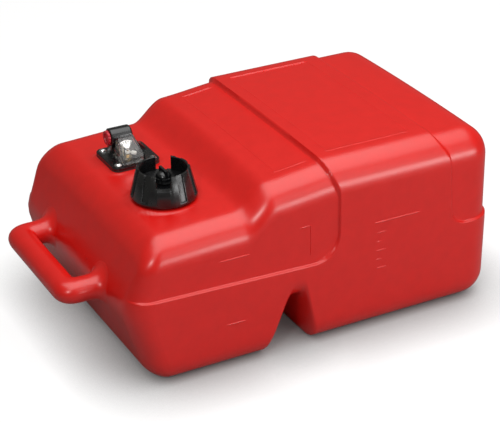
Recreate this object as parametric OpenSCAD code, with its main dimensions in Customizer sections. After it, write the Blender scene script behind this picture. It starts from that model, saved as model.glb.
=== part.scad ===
// Portable outboard motor fuel tank: a blow moulded vessel with its own handle, a vented
// filler cap, and a fuel fitting that carries the pickup tube and a float gauge.
// It stands on its two feet. Millimetres, +Z up, +X from the handle to the tall end.
// The origin is on the floor, under the middle of the whole length and width.

/* [Tank] */
// Length from the front of the grip to the rear wall
overall_l = 548; // [535:1:565]
// Width over the lower tub
tub_w = 338; // [325:1:355]
// Height of the raised band, which is the highest place
band_h = 233; // [229:1:240]
// Wall of the moulding
wall = 4; // [3:0.5:5]
// How far the upper panels lie inside the tub and the band
panel_inset = 3.5; // [2:0.5:5]
// Height of the front deck where it meets the front face
deck_h = 188; // [186:0.5:189.5]
// Rise of the front deck for each millimetre towards the rear
deck_slope = 0.035; // [0.02:0.005:0.05]
// Depth of the step from the band down to the decks beside it
band_step = 4.5; // [3.5:0.5:6]
// How much lower the middle deck is where the front deck runs up into it
mid_fall = 9.5; // [7:0.5:11]
// Radius of the long upper shoulders
shoulder_r = 38; // [30:1:42]
// Radius of the lower edges
foot_r = 32; // [26:1:36]
// Radius of the rear upright edges
rear_r = 36; // [30:1:42]
// Camber of the top across its width
crown = 2.5; // [1:0.5:4]
// Slope of the sides away from the parting line
side_draft = 0.014; // [0:0.002:0.03]

/* [Front face] */
// Height of the parting line, where the front face stands out furthest
parting_h = 102; // [96:1:108]
// How far the front face leans back at the deck
top_setback = 38; // [33:1:41]
// How far the front face draws back at the floor
foot_setback = 34; // [28:1:40]
// Softness of the crease at the parting line
crease_soft = 12; // [6:1:18]

/* [Rise and band] */
// From the parting line at the front to the foot of the rise
rise_at = 148; // [144:1:154]
// Length of the rise from the front deck to the middle deck
rise_l = 42; // [36:1:50]
// From the parting line at the front to the band's front edge, on the side
band_at = 270; // [264:1:276]
// Length of the band along the tub's side
band_l = 158; // [150:1:166]
// How far the band's front edge leans forward at the top
band_front_lean = 13; // [9:1:16]
// How far the band's rear edge leans forward at the top
band_rear_lean = 19; // [12:1:24]
// Height of the front panel's lower edge at the very front
front_ledge_h = 118.5; // [115:0.5:123]
// Fall of that edge for each millimetre towards the rear
front_ledge_slope = 0.03; // [0.02:0.005:0.04]
// Height of the rear panel's lower edge
rear_ledge_h = 114; // [108:1:120]
// Corner radius of the front panel's outline
front_corner_r = 34; // [26:1:40]
// Corner radius of the rear panel's outline
rear_corner_r = 22; // [16:1:28]

/* [Strap channel] */
// From the parting line at the front to where the channel starts
channel_at = 174; // [169:1:178]
// Length of the channel's slanted front wall
channel_front_l = 38; // [34:1:42]
// Flat length of the channel's roof
channel_roof_l = 10; // [8:1:16]
// Length of the channel's steep rear wall
channel_rear_l = 20; // [16:1:26]
// Height of the channel's roof above the floor
channel_h = 67; // [58:1:70]
// Radius of the edges between the channel and the sides
channel_edge_r = 18; // [15:1:22]

/* [Handle] */
// Reach of the handle in front of the parting line
handle_reach = 54; // [50:1:62]
// Width over the handle's two corners
handle_w = 184; // [176:2:196]
// Width of the grip, seen from above
grip_w = 32; // [28:1:35]
// Thickness of the grip, seen from the side
grip_t = 29; // [24:1:32]
// Centre radius of the handle's corners
handle_corner_r = 24; // [20:1:30]
// Height of the grip's centre above the floor
handle_h = 104; // [99:1:108]

/* [Filler] */
// From the parting line at the front to the filler's axis
filler_at = 94; // [90:1:98]
// Sideways place of the filler's axis
filler_y = -62; // [-66:1:-58]
// Height of the two flat seats on the front deck
seat_h = 190; // [189:0.5:193]
// Depth of the thick ring of plastic under each seat
seat_depth = 14; // [12:1:16]
// Radius of the round seat under the cap
filler_seat_r = 41.5; // [40.5:0.5:44]
// Outer radius of the filler neck
neck_r = 26; // [24:0.5:27]
// Wall of the filler neck
neck_wall = 3.6; // [3:0.2:4.4]
// Height of the filler neck above its seat
neck_h = 12.4; // [11:0.2:15]

/* [Cap] */
// Radius of the cap's lower rim
cap_r = 39.5; // [38.5:0.5:40.5]
// Radius of the cap's upper rim
cap_rim_r = 31.5; // [30:0.5:34]
// Height of the cap
cap_h = 37; // [34:1:42]
// Wall of the cap
cap_wall = 3; // [2.4:0.2:3.4]
// Number of places for grip flutes round the cap
flute_count = 12; // [8:1:14]
// Width of one flute
flute_w = 9.5; // [7:0.5:11]
// Depth of the flutes
flute_depth = 1; // [0.6:0.1:1.4]
// Height of the plain ring under the flutes
flute_floor = 6; // [5:0.5:9]
// Width of the slot at the back of the cap
rear_slot_w = 17.5; // [14:0.5:20]
// Width of the slot at the front of the cap
front_slot_w = 18; // [15:0.5:20]
// Depth of the front slot below the rim
front_slot_depth = 13; // [10:0.5:15]
// Way the cap's front slot faces when it is screwed home
cap_facing = -115; // [-180:1:180]
// Thickness of the cap's sealing ring
cap_seal_t = 2.2; // [1.6:0.1:3]

/* [Vent] */
// Radius of the vent knob
vent_r = 10; // [8.5:0.5:11]
// Height of the vent knob
vent_h = 16; // [13:0.5:17]
// Radius of the vent screw
vent_stem_r = 3; // [2.4:0.2:3.6]
// Thickness of the vent's sealing ring
vent_seal_t = 1.6; // [1.2:0.1:2]

/* [Fuel fitting] */
// From the parting line at the front to the fitting's centre
fitting_at = 98; // [94:1:100]
// Sideways place of the fitting's centre
fitting_y = 49; // [46:1:52]
// Side of the square base plate
plate_w = 62; // [60:1:64]
// Corner radius of the base plate
plate_corner_r = 9; // [7:1:11]
// Thickness of the base plate
plate_t = 4.5; // [4:0.5:6]
// Thickness of the gasket under it
gasket_t = 1.5; // [1:0.1:2]
// Distance between the plate's screws, both ways
screw_pitch = 46; // [45:0.5:48]
// Radius of the screws' shanks
screw_r = 2.2; // [1.8:0.1:2.5]
// Radius of the screws' domed heads
screw_head_r = 4.4; // [3.8:0.1:4.8]
// Radius of the hole that the fitting hangs in
port_hole_r = 22; // [21:0.5:23]
// Sideways place of the fuel port's barrel from the fitting's centre
barrel_dy = 9; // [8:0.5:10]
// Height of the barrel's axis above the plate
barrel_up = 23; // [22:0.5:25]
// Radius of the barrel
barrel_r = 11; // [10.5:0.25:12]
// Length of the barrel
barrel_l = 28; // [26:1:30]
// Where the barrel's mouth lies from the fitting's centre
barrel_mouth = -20; // [-21:0.5:-18]
// Radius of the port's thread
port_r = 5.7; // [5.2:0.1:6]
// Radius of the brass insert in the port
insert_r = 8; // [7.5:0.25:8.5]
// Length of that insert
insert_l = 15; // [12:1:16]

/* [Gauge] */
// Place of the gauge's upright axis from the fitting's centre, along the tank
gauge_dx = -3.5; // [-4.5:0.5:-2.5]
// Place of the gauge's upright axis from the fitting's centre, across the tank
gauge_dy = -8; // [-9:0.5:-7.5]
// Width of the window at its foot
lens_w = 29; // [27:1:31]
// Width of the window at its top
lens_top_w = 20; // [18:1:22]
// Height of the window
lens_h = 27; // [25:1:30]
// Wall of the window
lens_wall = 1.8; // [1.4:0.2:2.2]
// Radius of the float
float_r = 12.5; // [11:0.25:12.75]
// Height of the float
float_h = 26; // [20:1:30]
// Travel of the float from empty to full
float_travel = 112; // [100:1:114]
// Turn of the gauge's flag over that travel
gauge_turn = 110; // [90:5:120]
// Width of the twisted strip
strip_w = 4; // [3:0.5:5]
// Thickness of the twisted strip
strip_t = 0.8; // [0.6:0.1:1]
// Outer radius of the pickup tube
tube_r = 4; // [3.5:0.25:4.25]
// Height of the pickup tube's open end above the floor
tube_foot_h = 12; // [10:1:16]
// Height of the bridge that the gauge stands in
bridge_h = 30; // [28:1:34]

/* [Hidden] */

tank_red = [0.83, 0.13, 0.11];
cap_black = [0.09, 0.09, 0.1];

// Clearances and small fits
gap = 0.3;          // between pieces that move past each other
slide_fit = 0.1;    // round a shaft or a rod that guides
hole_fit = 0.3;     // round a tube that is moulded in
over = 1;           // how far a cut runs past a face
flash = 0.6;        // how far the face above the parting line stands in front of the one below

// Places along the tank
nose_x = -overall_l/2 + handle_reach;
rear_x = overall_l/2;
rise_x = nose_x + rise_at;
band_x = nose_x + band_at;
band_end_x = band_x + band_l;
channel_x = nose_x + channel_at;
filler_x = nose_x + filler_at;
fitting_x = nose_x + fitting_at;
half_w = tub_w/2;

// ---------------------------------------------------------------- profiles of the moulding

// A step from 0 to 1 with round ends, from x = at over the length run
function eased(x, at, run) = let (u = min(max((x - at)/run, 0), 1)) u*u*(3 - 2*u);

// Height of the front deck, the middle deck and the strip behind the band, on the centre line
function deck_top(x) = deck_h + deck_slope*(x - nose_x - top_setback);
function mid_top(x) = band_h - band_step - mid_fall*(1 - eased(x, rise_x + rise_l/2, band_x - rise_x));
function body_top(x) = let (s = eased(x, rise_x, rise_l))
    (1 - s)*deck_top(min(x, rise_x + rise_l)) + s*mid_top(x);

// Height of the underside, which the strap channel lifts between the two feet
channel_rear_x = channel_x + channel_front_l + channel_roof_l;
function in_channel(x) = eased(x, channel_x, channel_front_l) - eased(x, channel_rear_x, channel_rear_l);
function floor_h(x) = channel_h*in_channel(x);

// How far the front face stands behind the parting line at a height, with a soft crease there
function soft_abs(u) = sqrt(u*u + crease_soft*crease_soft) - crease_soft;
function setback(z) = soft_abs(z - parting_h)
    *(z > parting_h ? top_setback/(deck_h - parting_h) : foot_setback/parting_h);
lean_l = 130;       // length over which the lean of the front face dies out

// Half of a cross-section, from the top's middle round to the underside's middle, as [y, z]
function half_section(w, top, low, top_r, low_r, n) = concat(
    [for (i = [0:n[0] - 1]) let (y = (w - top_r)*i/n[0]) [y, top - crown*y*y/(w*w)]],
    [for (i = [0:n[1]]) let (a = 90 - 90*i/n[1])
        [w - top_r + top_r*cos(a), top - crown*pow(1 - top_r/w, 2) - top_r + top_r*sin(a)]],
    [[w, min(max(parting_h, low + low_r + 0.5), top - top_r - 0.5)]],
    [for (i = [0:n[2]]) let (a = -90*i/n[2]) [w - low_r + low_r*cos(a), low + low_r + low_r*sin(a)]],
    [[0, low]]);

// One ring of a skin: a section drawn in by [side, top, bottom], scaled about the parting line
function ring(x, w, top, low, top_r, low_r, in, shrink, n) = let (
    half = half_section(w - in[0], top - in[1], low + in[2],
        max(top_r - max(in[0], in[1]), 3), max(low_r - max(in[0], in[2]), 3), n),
    m = len(half) - 1,
    loop = concat(half, [for (i = [m - 1:-1:1]) [-half[i][0], half[i][1]]]),
    fade = 1 - eased(x, nose_x, lean_l))
    [for (p = loop) let (z = parting_h + shrink*(p[1] - parting_h),
        y = shrink*p[0]*(1 - side_draft*abs(z - parting_h)/w))
        [x + fade*setback(z), y, z]];

// A closed skin through rings that all have the same number of points
module loft(rings) {
    n = len(rings[0]);
    last = len(rings) - 1;
    polyhedron(
        points = [for (r = rings) for (p = r) p],
        faces = concat(
            [[for (i = [n - 1:-1:0]) i]],
            [for (k = [0:last - 1]) for (i = [0:n - 1]) let (j = (i + 1) % n)
                [k*n + i, (k + 1)*n + j, (k + 1)*n + i]],
            [for (k = [0:last - 1]) for (i = [0:n - 1]) let (j = (i + 1) % n)
                [k*n + i, k*n + j, (k + 1)*n + j]],
            [[for (i = [0:n - 1]) last*n + i]]));
}

// Stations of a skin: [x, drawn in at the sides, top and bottom, scale]. The front face is a few
// rings that shrink to its middle, then come the rounded front edge, the length and the rear edge.
// An edge is [run, sides, top, bottom].
function stations(front, edge, between, rear, rear_edge, steps) = concat(
    [for (s = [0.15, 0.45, 0.75]) [front, edge[1], edge[2], edge[3], s]],
    [for (i = [0:steps]) let (a = 90*i/steps, k = 1 - sin(a))
        [front + edge[0]*(1 - cos(a)), edge[1]*k, edge[2]*k, edge[3]*k, 1]],
    [for (x = between) [x, 0, 0, 0, 1]],
    [for (i = [steps:-1:0]) let (a = 90*i/steps, k = 1 - sin(a))
        [rear - rear_edge[0]*(1 - cos(a)), rear_edge[1]*k, rear_edge[2]*k, rear_edge[3]*k, 1]]);
function even_edge(r) = [r, r, r, r];
function drawn(s) = [s[1], s[2], s[3]];

// Evenly spread stations
function spread(from, to, count) = [for (i = [0:count]) from + (to - from)*i/count];

// The tub and the band as one full block, before the panels are taken out of it
tub_edge = even_edge(foot_r - 4);
tub_stations = stations(nose_x, tub_edge, concat(
    spread(nose_x + tub_edge[0] + 25, nose_x + lean_l, 2),
    spread(channel_x, channel_x + channel_front_l, 6),
    spread(channel_rear_x, channel_rear_x + channel_rear_l, 6)), rear_x, even_edge(rear_r), 5);
module tub_skin() {
    loft([for (s = tub_stations) ring(s[0], half_w, band_h, floor_h(s[0]), shoulder_r,
        foot_r - (foot_r - channel_edge_r)*in_channel(s[0]), drawn(s), s[4], [2, 6, 5])]);
}

// The upper body, whose side, front deck, middle deck and rear strip lie inside the tub
upper_edge = [22, 14, 26, 0];
upper_rear = [rear_r - 4, rear_r - 4, rear_r - 4, 0];
upper_foot = parting_h - 6;
upper_stations = stations(nose_x - flash, upper_edge, concat(
    spread(nose_x + upper_edge[0] + 16, rise_x - 3, 4),
    spread(rise_x + 2, rise_x + rise_l, 8),
    spread(rise_x + rise_l + 15, band_x + 6, 3),
    [band_end_x - band_rear_lean - 6]), rear_x - panel_inset, upper_rear, 5);
module upper_skin() {
    loft([for (s = upper_stations) ring(s[0], half_w - panel_inset, body_top(s[0]), upper_foot,
        shoulder_r - 3, 3, drawn(s), s[4], [3, 6, 1])]);
}

// The inside of the vessel lies one wall behind the outside
function inner_top(x) = min([for (a = [-80:20:80]) body_top(x + wall*sin(a)) - wall*cos(a)])
    + (band_step - 1)*(eased(x, band_x + wall, 10) - eased(x, band_end_x - band_rear_lean - wall - 10, 10));
function inner_floor(x) = max([for (a = [-80:20:80]) floor_h(x + wall*sin(a)) + wall*cos(a)]);
inner_edge = even_edge(foot_r - 8);
inner_stations = stations(nose_x + wall + 1.5, inner_edge, concat(
    spread(nose_x + inner_edge[0] + 20, nose_x + lean_l, 2),
    spread(rise_x - 8, channel_x - wall - 5, 3),
    spread(channel_x - wall, channel_x + channel_front_l, 7),
    spread(channel_rear_x, channel_rear_x + channel_rear_l + wall, 6),
    [band_x + wall, band_x + wall + 10, band_end_x - band_rear_lean - wall - 10,
        band_end_x - band_rear_lean - wall]), rear_x - panel_inset - wall, even_edge(rear_r - 6), 4);
module cavity() {
    loft([for (s = inner_stations) ring(s[0], half_w - panel_inset - wall, inner_top(s[0]),
        inner_floor(s[0]), shoulder_r - 6, foot_r - 10 - (foot_r - channel_edge_r)*in_channel(s[0]),
        drawn(s), s[4], [2, 4, 3])]);
}

// ------------------------------------------------------------- outline of the proud surface

function arc(cx, cz, r, from, to, n) = [for (i = [0:n]) let (a = from + (to - from)*i/n)
    [cx + r*cos(a), cz + r*sin(a)]];
function front_ledge(x) = front_ledge_h - front_ledge_slope*(x - nose_x);
ledge_tilt = atan(front_ledge_slope);
side_edge_h = band_h - shoulder_r;   // height at which the band's edges stop being upright

// Side view of the tub and the band, whose edges are the ledges and grooves of the panels
module proud_outline() {
    front_cx = band_x - front_corner_r;
    polygon(concat(
        [[-overall_l, -over], [overall_l, -over], [overall_l, rear_ledge_h]],
        arc(band_end_x + rear_corner_r, rear_ledge_h + rear_corner_r, rear_corner_r, 270, 180, 8),
        [[band_end_x - 4, side_edge_h + 12], [band_end_x - band_rear_lean, band_h],
            [band_end_x - band_rear_lean, band_h + over],
            [band_x - band_front_lean, band_h + over], [band_x - band_front_lean, band_h],
            [band_x, side_edge_h]],
        arc(front_cx, front_ledge(front_cx) + front_corner_r/cos(ledge_tilt), front_corner_r,
            0, -90 - ledge_tilt, 10),
        [[-overall_l, front_ledge(-overall_l)]]));
}

module proud_tub() {
    intersection() {
        tub_skin();
        rotate([90, 0, 0]) linear_extrude(height = tub_w + 2*over, center = true) proud_outline();
    }
}

// ------------------------------------------------------------------------------ the handle

// Centre line of half the handle as [x, y, swell], from the root to the middle
grip_x = nose_x - handle_reach + grip_w/2;
arm_y = handle_w/2 - grip_w/2;
root_x = nose_x + 12;
function handle_half() = concat(
    [[root_x, arm_y + 7, 1.5], [nose_x + 1, arm_y + 4, 1.2], [nose_x - 8, arm_y + 2, 1.05]],
    [for (i = [0:5]) let (a = 90*i/5) [grip_x + handle_corner_r*(1 - sin(a)),
        arm_y - handle_corner_r*(1 - cos(a)), 1]],
    [[grip_x, 0, 1]]);

grip_sides = 24;
module grip_bead(s) {
    translate([s[0], s[1], handle_h]) scale([1, 1, grip_t/grip_w])
        sphere(d = grip_w*s[2]/cos(180/grip_sides), $fn = grip_sides);
}

module half_handle() {
    path = handle_half();
    for (i = [0:len(path) - 2]) hull() {
        grip_bead(path[i]);
        grip_bead(path[i + 1]);
    }
}

module handle() {
    half_handle();
    mirror([0, 1, 0]) half_handle();
}

// -------------------------------------------------------------------------------- the tank

module rounded_square(w, r) {
    hull() for (x = [-1, 1], y = [-1, 1]) translate([x*(w/2 - r), y*(w/2 - r)]) circle(r = r, $fn = 48);
}

module seats() {
    translate([filler_x, filler_y, seat_h - seat_depth])
        cylinder(h = seat_depth, r = filler_seat_r, $fn = 60);
    translate([fitting_x, fitting_y, seat_h - seat_depth])
        linear_extrude(height = seat_depth) rounded_square(plate_w + 4, plate_corner_r + 2);
}

module at_screws() {
    for (x = [-1, 1], y = [-1, 1])
        translate([fitting_x + x*screw_pitch/2, fitting_y + y*screw_pitch/2, seat_h]) children();
}

tank_insert_r = screw_r + 1.6;
tank_insert_l = 10;

// Flat places sunk into the sloping deck, where it stands higher than the seats
module seat_recesses() {
    translate([filler_x, filler_y, seat_h]) cylinder(h = 20, r = filler_seat_r + 1.5, $fn = 60);
    translate([fitting_x, fitting_y, seat_h])
        linear_extrude(height = 20) rounded_square(plate_w + 5, plate_corner_r + 2.5);
}

module tank_body() {
    color(tank_red) difference() {
        union() {
            difference() {
                union() {
                    upper_skin();
                    proud_tub();
                    handle();
                }
                cavity();
                seat_recesses();
            }
            seats();
        }
        translate([filler_x, filler_y, seat_h - 2*seat_depth])
            cylinder(h = 3*seat_depth, r = (neck_r + hole_fit)/cos(180/64), $fn = 64);
        translate([fitting_x, fitting_y, seat_h - 2*seat_depth])
            cylinder(h = 3*seat_depth, r = port_hole_r, $fn = 48);
        at_screws() translate([0, 0, -tank_insert_l])
            cylinder(h = 2*tank_insert_l, r = tank_insert_r/cos(180/24), $fn = 24);
    }
}

// The neck is moulded into the tank: a tube with a flange that lies on the round seat
neck_flange_r = neck_r + 4;
neck_flange_t = 2;
neck_tail = seat_depth - 2;
module filler_neck() {
    color(tank_red) translate([filler_x, filler_y, seat_h]) rotate_extrude($fn = 96)
        polygon([[neck_r - neck_wall, -neck_tail], [neck_r, -neck_tail], [neck_r, 0],
            [neck_flange_r, 0], [neck_flange_r, neck_flange_t - 0.6],
            [neck_flange_r - 0.6, neck_flange_t], [neck_r, neck_flange_t],
            [neck_r, neck_h - 0.8], [neck_r - 0.8, neck_h], [neck_r - neck_wall, neck_h]]);
}

// Four threaded brass bushes under the fitting's screws
module tank_inserts() {
    color([0.78, 0.6, 0.25]) at_screws() translate([0, 0, -tank_insert_l]) difference() {
        cylinder(h = tank_insert_l, r = tank_insert_r, $fn = 32);
        translate([0, 0, 2]) cylinder(h = tank_insert_l, r = screw_r, $fn = 32);
    }
}

// --------------------------------------------------------------------------------- the cap

// Heights in the cap are from its lower rim, which hangs just clear of the seat
cap_foot = seat_h + 0.6;
cap_deck_t = 3;
cap_deck = seat_h + neck_h + cap_seal_t - cap_foot;      // underside of the cap's deck
cap_floor = cap_deck + cap_deck_t;                       // floor of the bowl above the deck
thread_r = neck_r + 0.6;                                 // the cap's inside over the neck's thread
cap_taper = (cap_r - cap_rim_r)/(cap_h - 4);
function cap_side(z) = cap_r - cap_taper*max(z - 4, 0);  // outside radius at a height

module cap_profile() {
    polygon([
        [thread_r + 0.6, 2], [thread_r, 2.6], [thread_r, cap_deck], [vent_stem_r + slide_fit, cap_deck],
        [vent_stem_r + slide_fit, cap_floor], [cap_side(cap_floor) - cap_wall, cap_floor],
        [cap_rim_r - cap_wall, cap_h - 0.6], [cap_rim_r - cap_wall + 0.6, cap_h],
        [cap_rim_r - 0.8, cap_h], [cap_rim_r, cap_h - 0.8], [cap_r, 4], [cap_r, 0.8], [cap_r - 0.8, 0],
        [cap_r - cap_wall, 0], [cap_side(cap_deck) - cap_wall, cap_deck - 3],
        [thread_r + cap_wall, cap_deck - 3], [thread_r + cap_wall, 2]]);
}

flute_tilt = atan(cap_taper);
tab_w = 15.5;
tab_h = 9;
module cap_shell() {
    color(cap_black) translate([filler_x, filler_y, cap_foot]) rotate([0, 0, cap_facing]) {
        difference() {
            rotate_extrude($fn = 120) cap_profile();
            for (i = [1:flute_count - 1]) rotate([0, 0, 360*i/flute_count])
                translate([cap_side(flute_floor) - flute_depth, -flute_w/2, flute_floor])
                    rotate([0, -flute_tilt, 0]) cube([20, flute_w, 2*cap_h]);
            translate([0, -front_slot_w/2, cap_h - front_slot_depth])
                cube([2*cap_r, front_slot_w, cap_h]);
            translate([-2*cap_r, -rear_slot_w/2, cap_floor]) cube([2*cap_r, rear_slot_w, cap_h]);
        }
        // Press pad on the front, under the slot
        translate([cap_side(cap_h - front_slot_depth - 2) - 0.6, 0, cap_h - front_slot_depth - 2])
            rotate([0, 180 - flute_tilt, 0]) translate([-1.4, -tab_w/2, 0]) cube([1.6, tab_w, tab_h]);
    }
}

module cap_seal() {
    color([0.15, 0.15, 0.15]) translate([filler_x, filler_y, seat_h + neck_h]) rotate_extrude($fn = 96)
        polygon([[neck_r - neck_wall - 1.5, 0], [neck_r, 0], [neck_r, cap_seal_t],
            [neck_r - neck_wall - 1.5, cap_seal_t]]);
}

// Vent screw: a domed knob with a finger fin, on a stem through the cap's deck
vent_foot = cap_foot + cap_floor + vent_seal_t;
dome_h = 7;
fin_w = 3;
module vent_knob() {
    color(cap_black) translate([filler_x, filler_y, vent_foot]) rotate([0, 0, cap_facing + 25]) {
        difference() {
            rotate_extrude($fn = 72) polygon(concat(
                [[0, -cap_deck_t - vent_seal_t - 2], [vent_stem_r, -cap_deck_t - vent_seal_t - 2],
                    [vent_stem_r, 0], [vent_r, 0], [vent_r, vent_h - dome_h - 3]],
                [for (a = [0:15:90]) [(vent_r - 1)*cos(a), vent_h - dome_h - 3 + dome_h*sin(a)]]));
            for (a = [45:90:315]) rotate([0, 0, a]) translate([vent_r + 1.6, 0, -over])
                cylinder(h = vent_h, r = 3, $fn = 32);
        }
        translate([-vent_r + 1, -fin_w/2, vent_h - dome_h - 3]) cube([2*vent_r - 2, fin_w, dome_h + 3]);
    }
}

module vent_seal() {
    color([0.2, 0.2, 0.2]) translate([filler_x, filler_y, cap_foot + cap_floor])
        rotate_extrude($fn = 72) translate([vent_stem_r + 0.5, 0]) square([3.5, vent_seal_t]);
}

// ------------------------------------------------------------------------ the fuel fitting

plate_foot = seat_h + gasket_t;
plate_top = plate_foot + plate_t;
barrel_z = plate_top + barrel_up;
mouth_x = fitting_x + barrel_mouth;
barrel_y = fitting_y + barrel_dy;
gauge_x = fitting_x + gauge_dx;
gauge_y = fitting_y + gauge_dy;
journal_r = 1.6;
rod_r = 1.5;
rod_x = gauge_x - 6;
rod_y = gauge_y + 4;
tube_top = barrel_z - 7;
saddle_t = 5.5;
saddle_w = screw_pitch/2 - screw_head_r - barrel_dy + saddle_t - 1;
saddle_l = screw_pitch/2 + 2 - barrel_mouth;

module plate_outline(r_in) {
    difference() {
        rounded_square(plate_w, plate_corner_r);
        if (r_in > 0) circle(r = r_in, $fn = 96);
    }
}

module fitting_gasket() {
    color([0.25, 0.25, 0.25]) translate([fitting_x, fitting_y, seat_h]) linear_extrude(height = gasket_t)
        difference() {
            plate_outline(port_hole_r);
            for (x = [-1, 1], y = [-1, 1]) translate([x, y]*screw_pitch/2)
                circle(r = screw_r + 0.4, $fn = 32);
        }
}

// Base plate, the saddle behind the window and the barrel of the port
module fitting_body() {
    color(cap_black) difference() {
        union() {
            translate([fitting_x, fitting_y, plate_foot]) {
                linear_extrude(height = plate_t - 1) rounded_square(plate_w, plate_corner_r);
                translate([0, 0, plate_t - 1])
                    linear_extrude(height = 1) rounded_square(plate_w - 2, plate_corner_r - 1);
            }
            // Saddle under the barrel
            hull() {
                translate([mouth_x + 1, barrel_y - saddle_t, plate_top - 1])
                    cube([saddle_l, saddle_w, 2]);
                translate([mouth_x + 1, barrel_y - saddle_t, barrel_z - barrel_r/2])
                    cube([barrel_l - 2, saddle_w - 2, 2]);
            }
            // Barrel along the tank, with a rounded far end
            translate([mouth_x, barrel_y, barrel_z]) rotate([0, 90, 0]) rotate_extrude($fn = 96)
                polygon(concat([[0, 0], [barrel_r - 0.8, 0], [barrel_r, 0.8]],
                    [for (a = [0:18:90]) [barrel_r - 3 + 3*cos(a), barrel_l - 3 + 3*sin(a)]],
                    [[0, barrel_l]]));
            // Boss that hangs in the tank and holds the tube and the gauge
            translate([fitting_x, fitting_y, plate_foot - 9])
                cylinder(h = 10, r = port_hole_r - 1, $fn = 96);
        }
        // Port, its passage and the tube's socket
        translate([mouth_x - over, barrel_y, barrel_z]) rotate([0, 90, 0])
            cylinder(h = insert_l + over, r = insert_r, $fn = 64);
        translate([mouth_x, barrel_y, barrel_z]) rotate([0, 90, 0])
            cylinder(h = fitting_x - mouth_x + 3, r = 3, $fn = 48);
        translate([fitting_x, barrel_y, plate_foot - 10]) cylinder(h = tube_top - plate_foot + 10, r = tube_r, $fn = 48);
        translate([fitting_x, barrel_y, plate_foot]) cylinder(h = barrel_z - plate_foot, r = tube_r - 1.2, $fn = 48);
        // Bush of the gauge spindle and socket of the guide rod
        translate([gauge_x, gauge_y, plate_foot - 10]) cylinder(h = 30, r = bush_r, $fn = 48);
        translate([rod_x, rod_y, plate_foot - 10]) cylinder(h = 8, r = rod_r, $fn = 32);
        at_screws() cylinder(h = 30, r = screw_r + 0.2, $fn = 32);
    }
}

module fitting_screws() {
    color([0.8, 0.8, 0.82]) at_screws() {
        translate([0, 0, plate_top - seat_h]) intersection() {
            translate([0, 0, screw_head_r*0.55 - screw_dome_r]) sphere(r = screw_dome_r, $fn = 64);
            cylinder(h = screw_head_r, r = screw_head_r, $fn = 64);
        }
        translate([0, 0, 2 - tank_insert_l + 0.5]) cylinder(h = plate_top - seat_h + tank_insert_l - 2.5, r = screw_r, $fn = 32);
    }
}
screw_dome_h = screw_head_r*0.55;
screw_dome_r = (screw_head_r*screw_head_r + screw_dome_h*screw_dome_h)/(2*screw_dome_h);

module port_insert() {
    color([0.78, 0.6, 0.25]) translate([mouth_x + insert_l, barrel_y, barrel_z]) rotate([0, -90, 0])
        difference() {
            cylinder(h = insert_l, r = insert_r, $fn = 64);
            translate([0, 0, -over]) cylinder(h = insert_l + 2*over, r = port_r, $fn = 64);
        }
}

// Red travel plug: a ribbed head on a plain stem with a sealing ring
plug_head_r = 9;
plug_head_t = 4;
plug_stem_l = 11;
plug_stem_r = port_r - gap;
ring_groove = 1;
module port_plug() {
    color([0.8, 0.1, 0.12]) translate([mouth_x, barrel_y, barrel_z]) rotate([0, -90, 0]) difference() {
        rotate_extrude($fn = 72) polygon([[0, -plug_stem_l], [plug_stem_r - 0.8, -plug_stem_l],
            [plug_stem_r, -plug_stem_l + 0.8], [plug_stem_r, -6],
            [plug_stem_r - ring_groove, -6], [plug_stem_r - ring_groove, -4], [plug_stem_r, -4],
            [plug_stem_r, gap], [plug_head_r - 0.6, gap], [plug_head_r, 0.9],
            [plug_head_r, plug_head_t - 0.6], [plug_head_r - 0.6, plug_head_t],
            [6, plug_head_t], [5.4, plug_head_t - 1.6], [0, plug_head_t - 1.6]]);
        for (i = [0:11]) rotate([0, 0, 30*i]) translate([plug_head_r + 0.9, 0, -over])
            cylinder(h = plug_head_t + 3*over, r = 1.5, $fn = 24);
    }
}

module plug_seal() {
    color([0.12, 0.12, 0.12]) translate([mouth_x, barrel_y, barrel_z]) rotate([0, -90, 0])
        rotate_extrude($fn = 72) translate([plug_stem_r - ring_groove, -5.9]) square([ring_groove + 0.1, 1.8]);
}

// ------------------------------------------------------------------------------- the gauge

// The window is a wedge: foot and top as [half width, near y, far y] from the gauge's axis
lens_back = barrel_y - saddle_t - gap;
lens_front = gauge_y - 22;
module lens_wedge(shrink) {
    hull() {
        translate([gauge_x - lens_w/2 + shrink, lens_front + 1.4*shrink, plate_top - over*(shrink > 0 ? 1 : 0)])
            cube([lens_w - 2*shrink, lens_back - lens_front - 1.4*shrink, 1]);
        translate([gauge_x - lens_w/2 + shrink, lens_front + 1.4*shrink + 4, plate_top + 6])
            cube([lens_w - 2*shrink, lens_back - lens_front - 1.4*shrink - 4, 1]);
        translate([gauge_x - lens_top_w/2 + shrink, lens_back - 4 + shrink, plate_top + lens_h - 1 - shrink])
            cube([lens_top_w - 2*shrink, 4 - shrink, 1]);
    }
}

module gauge_lens() {
    color([0.75, 0.78, 0.8, 0.45]) difference() {
        lens_wedge(0);
        difference() {
            lens_wedge(lens_wall);
            translate([gauge_x - lens_w, lens_back - lens_wall, plate_top - 2*over])
                cube([2*lens_w, lens_wall + over, 2*lens_h]);
        }
        translate([mouth_x - over, barrel_y, barrel_z]) rotate([0, 90, 0])
            cylinder(h = barrel_l + 2*over, r = barrel_r + gap, $fn = 96);
    }
}

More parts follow.
